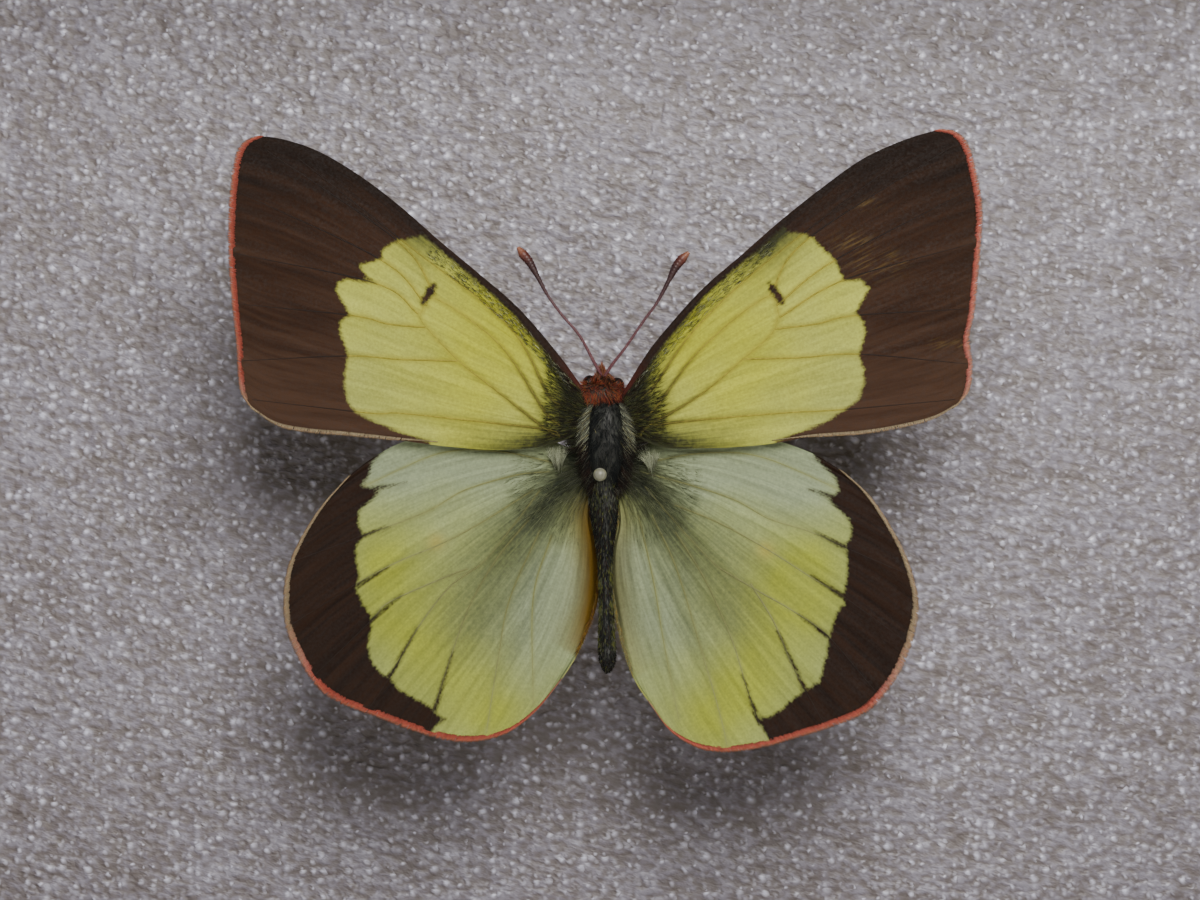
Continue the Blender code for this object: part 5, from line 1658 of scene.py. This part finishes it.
def zincMaterial():
    # stamped steel with bright zinc plating: cool grey, faint blotches and handling scratches
    material, add = newMaterial("zinc_plated_steel")
    place = add("TexCoord", out="Object")
    blotch = add("TexNoise", {"Vector": place, "Scale": per(1.5), "Detail": 3.0})
    lines = add("VectorMath", {0: place, 1: per(4, 4, 0.12)}, operation="MULTIPLY")
    scratch = add("TexNoise", {"Vector": lines, "Scale": 1.0, "Detail": 1.0})
    colour = add("ValToRGB", {"Fac": blotch}, stops=[(0.3, "#9a9b9c"), (0.7, "#c5c6c8")])
    rough = add("MapRange", {0: scratch, 1: 0.35, 2: 0.65, 3: 0.25, 4: 0.42})
    return finishMaterial(material, {"Base Color": colour, "Roughness": rough, "Metallic": 1.0})


# Studio: floor, lights and camera

studio = {
    "viewDistance": 225.0,  # from the wings to the camera
    "viewWidth": 72.0,  # what the photo spans at the wings
    "wingHeight": 14.0,
    "floorSize": 4.0,
    "floorDrop": 0.2,  # keeps the floor clear of the bottom rail
    "floor": "#d8d6d2",
    "world": ("#e6e6e8", 0.12),
    # each lamp's place and aim from the middle of the opening, its size, power and colour; the side
    # lamps stand level with the rails, so they reach the frame's sides and not the wings
    "lamps": {
        "key": ((28, -192, 93), (0, 0, 6), 110, 0.56, "#fffaf4"),
        "side_left": ((-420, -35, 170), (-60, 0, 0), 300, 1.1, "#f4f6ff"),
        "side_right": ((420, -35, 170), (60, 0, 0), 300, 1.25, "#fffaf4"),
        "back": ((-200, 600, 398), (0, 0, 0), 500, 2.5, "#ffffff"),
    },
}


def makeFloor():
    size, drop = studio["floorSize"], studio["floorDrop"] * mm
    bpy.ops.mesh.primitive_plane_add(size=size, location=(0, 0, -drop))
    floor = bpy.context.active_object
    floor.name = "floor"
    material, _ = newMaterial("pale_floor")
    values = {"Base Color": linear(studio["floor"]), "Roughness": 0.9}
    floor.data.materials.append(finishMaterial(material, values))


def addLamp(name, place, target, size, power, colour):
    middle = Vector((0, 0, openingMiddle))
    lamp = bpy.data.lights.new(name, "AREA")
    lamp.shape = "SQUARE"
    lamp.size = size * mm
    lamp.energy = power
    lamp.color = linear(colour)[:3]
    obj = bpy.data.objects.new(name, lamp)
    obj.location = middle + Vector(place) * mm
    aim = middle + Vector(target) * mm - obj.location
    obj.rotation_euler = aim.to_track_quat("-Z", "Y").to_euler()
    bpy.context.scene.collection.objects.link(obj)


def makeStudio():
    makeFloor()
    for name, lamp in studio["lamps"].items():
        addLamp(name, *lamp)
    world = bpy.data.worlds.new("studio")
    world.use_nodes = True
    colour, strength = studio["world"]
    setSockets(world.node_tree.nodes["Background"], {"Color": linear(colour), "Strength": strength})
    bpy.context.scene.world = world
    camera = bpy.data.cameras.new("camera")
    camera.lens = camera.sensor_width * studio["viewDistance"] / studio["viewWidth"]
    camera.clip_start = 0.01
    obj = bpy.data.objects.new("camera", camera)
    wingPlane = foamLow.y - studio["wingHeight"] * mm
    obj.location = (pinX, wingPlane - studio["viewDistance"] * mm, openingMiddle)
    obj.rotation_euler = (math.radians(90), 0, 0)
    bpy.context.scene.collection.objects.link(obj)
    bpy.context.scene.camera = obj
    report("studio")


makeWings()
makeBody()
makePin()
makeFoam(foamMaterial())
makeFrame()
makeStudio()
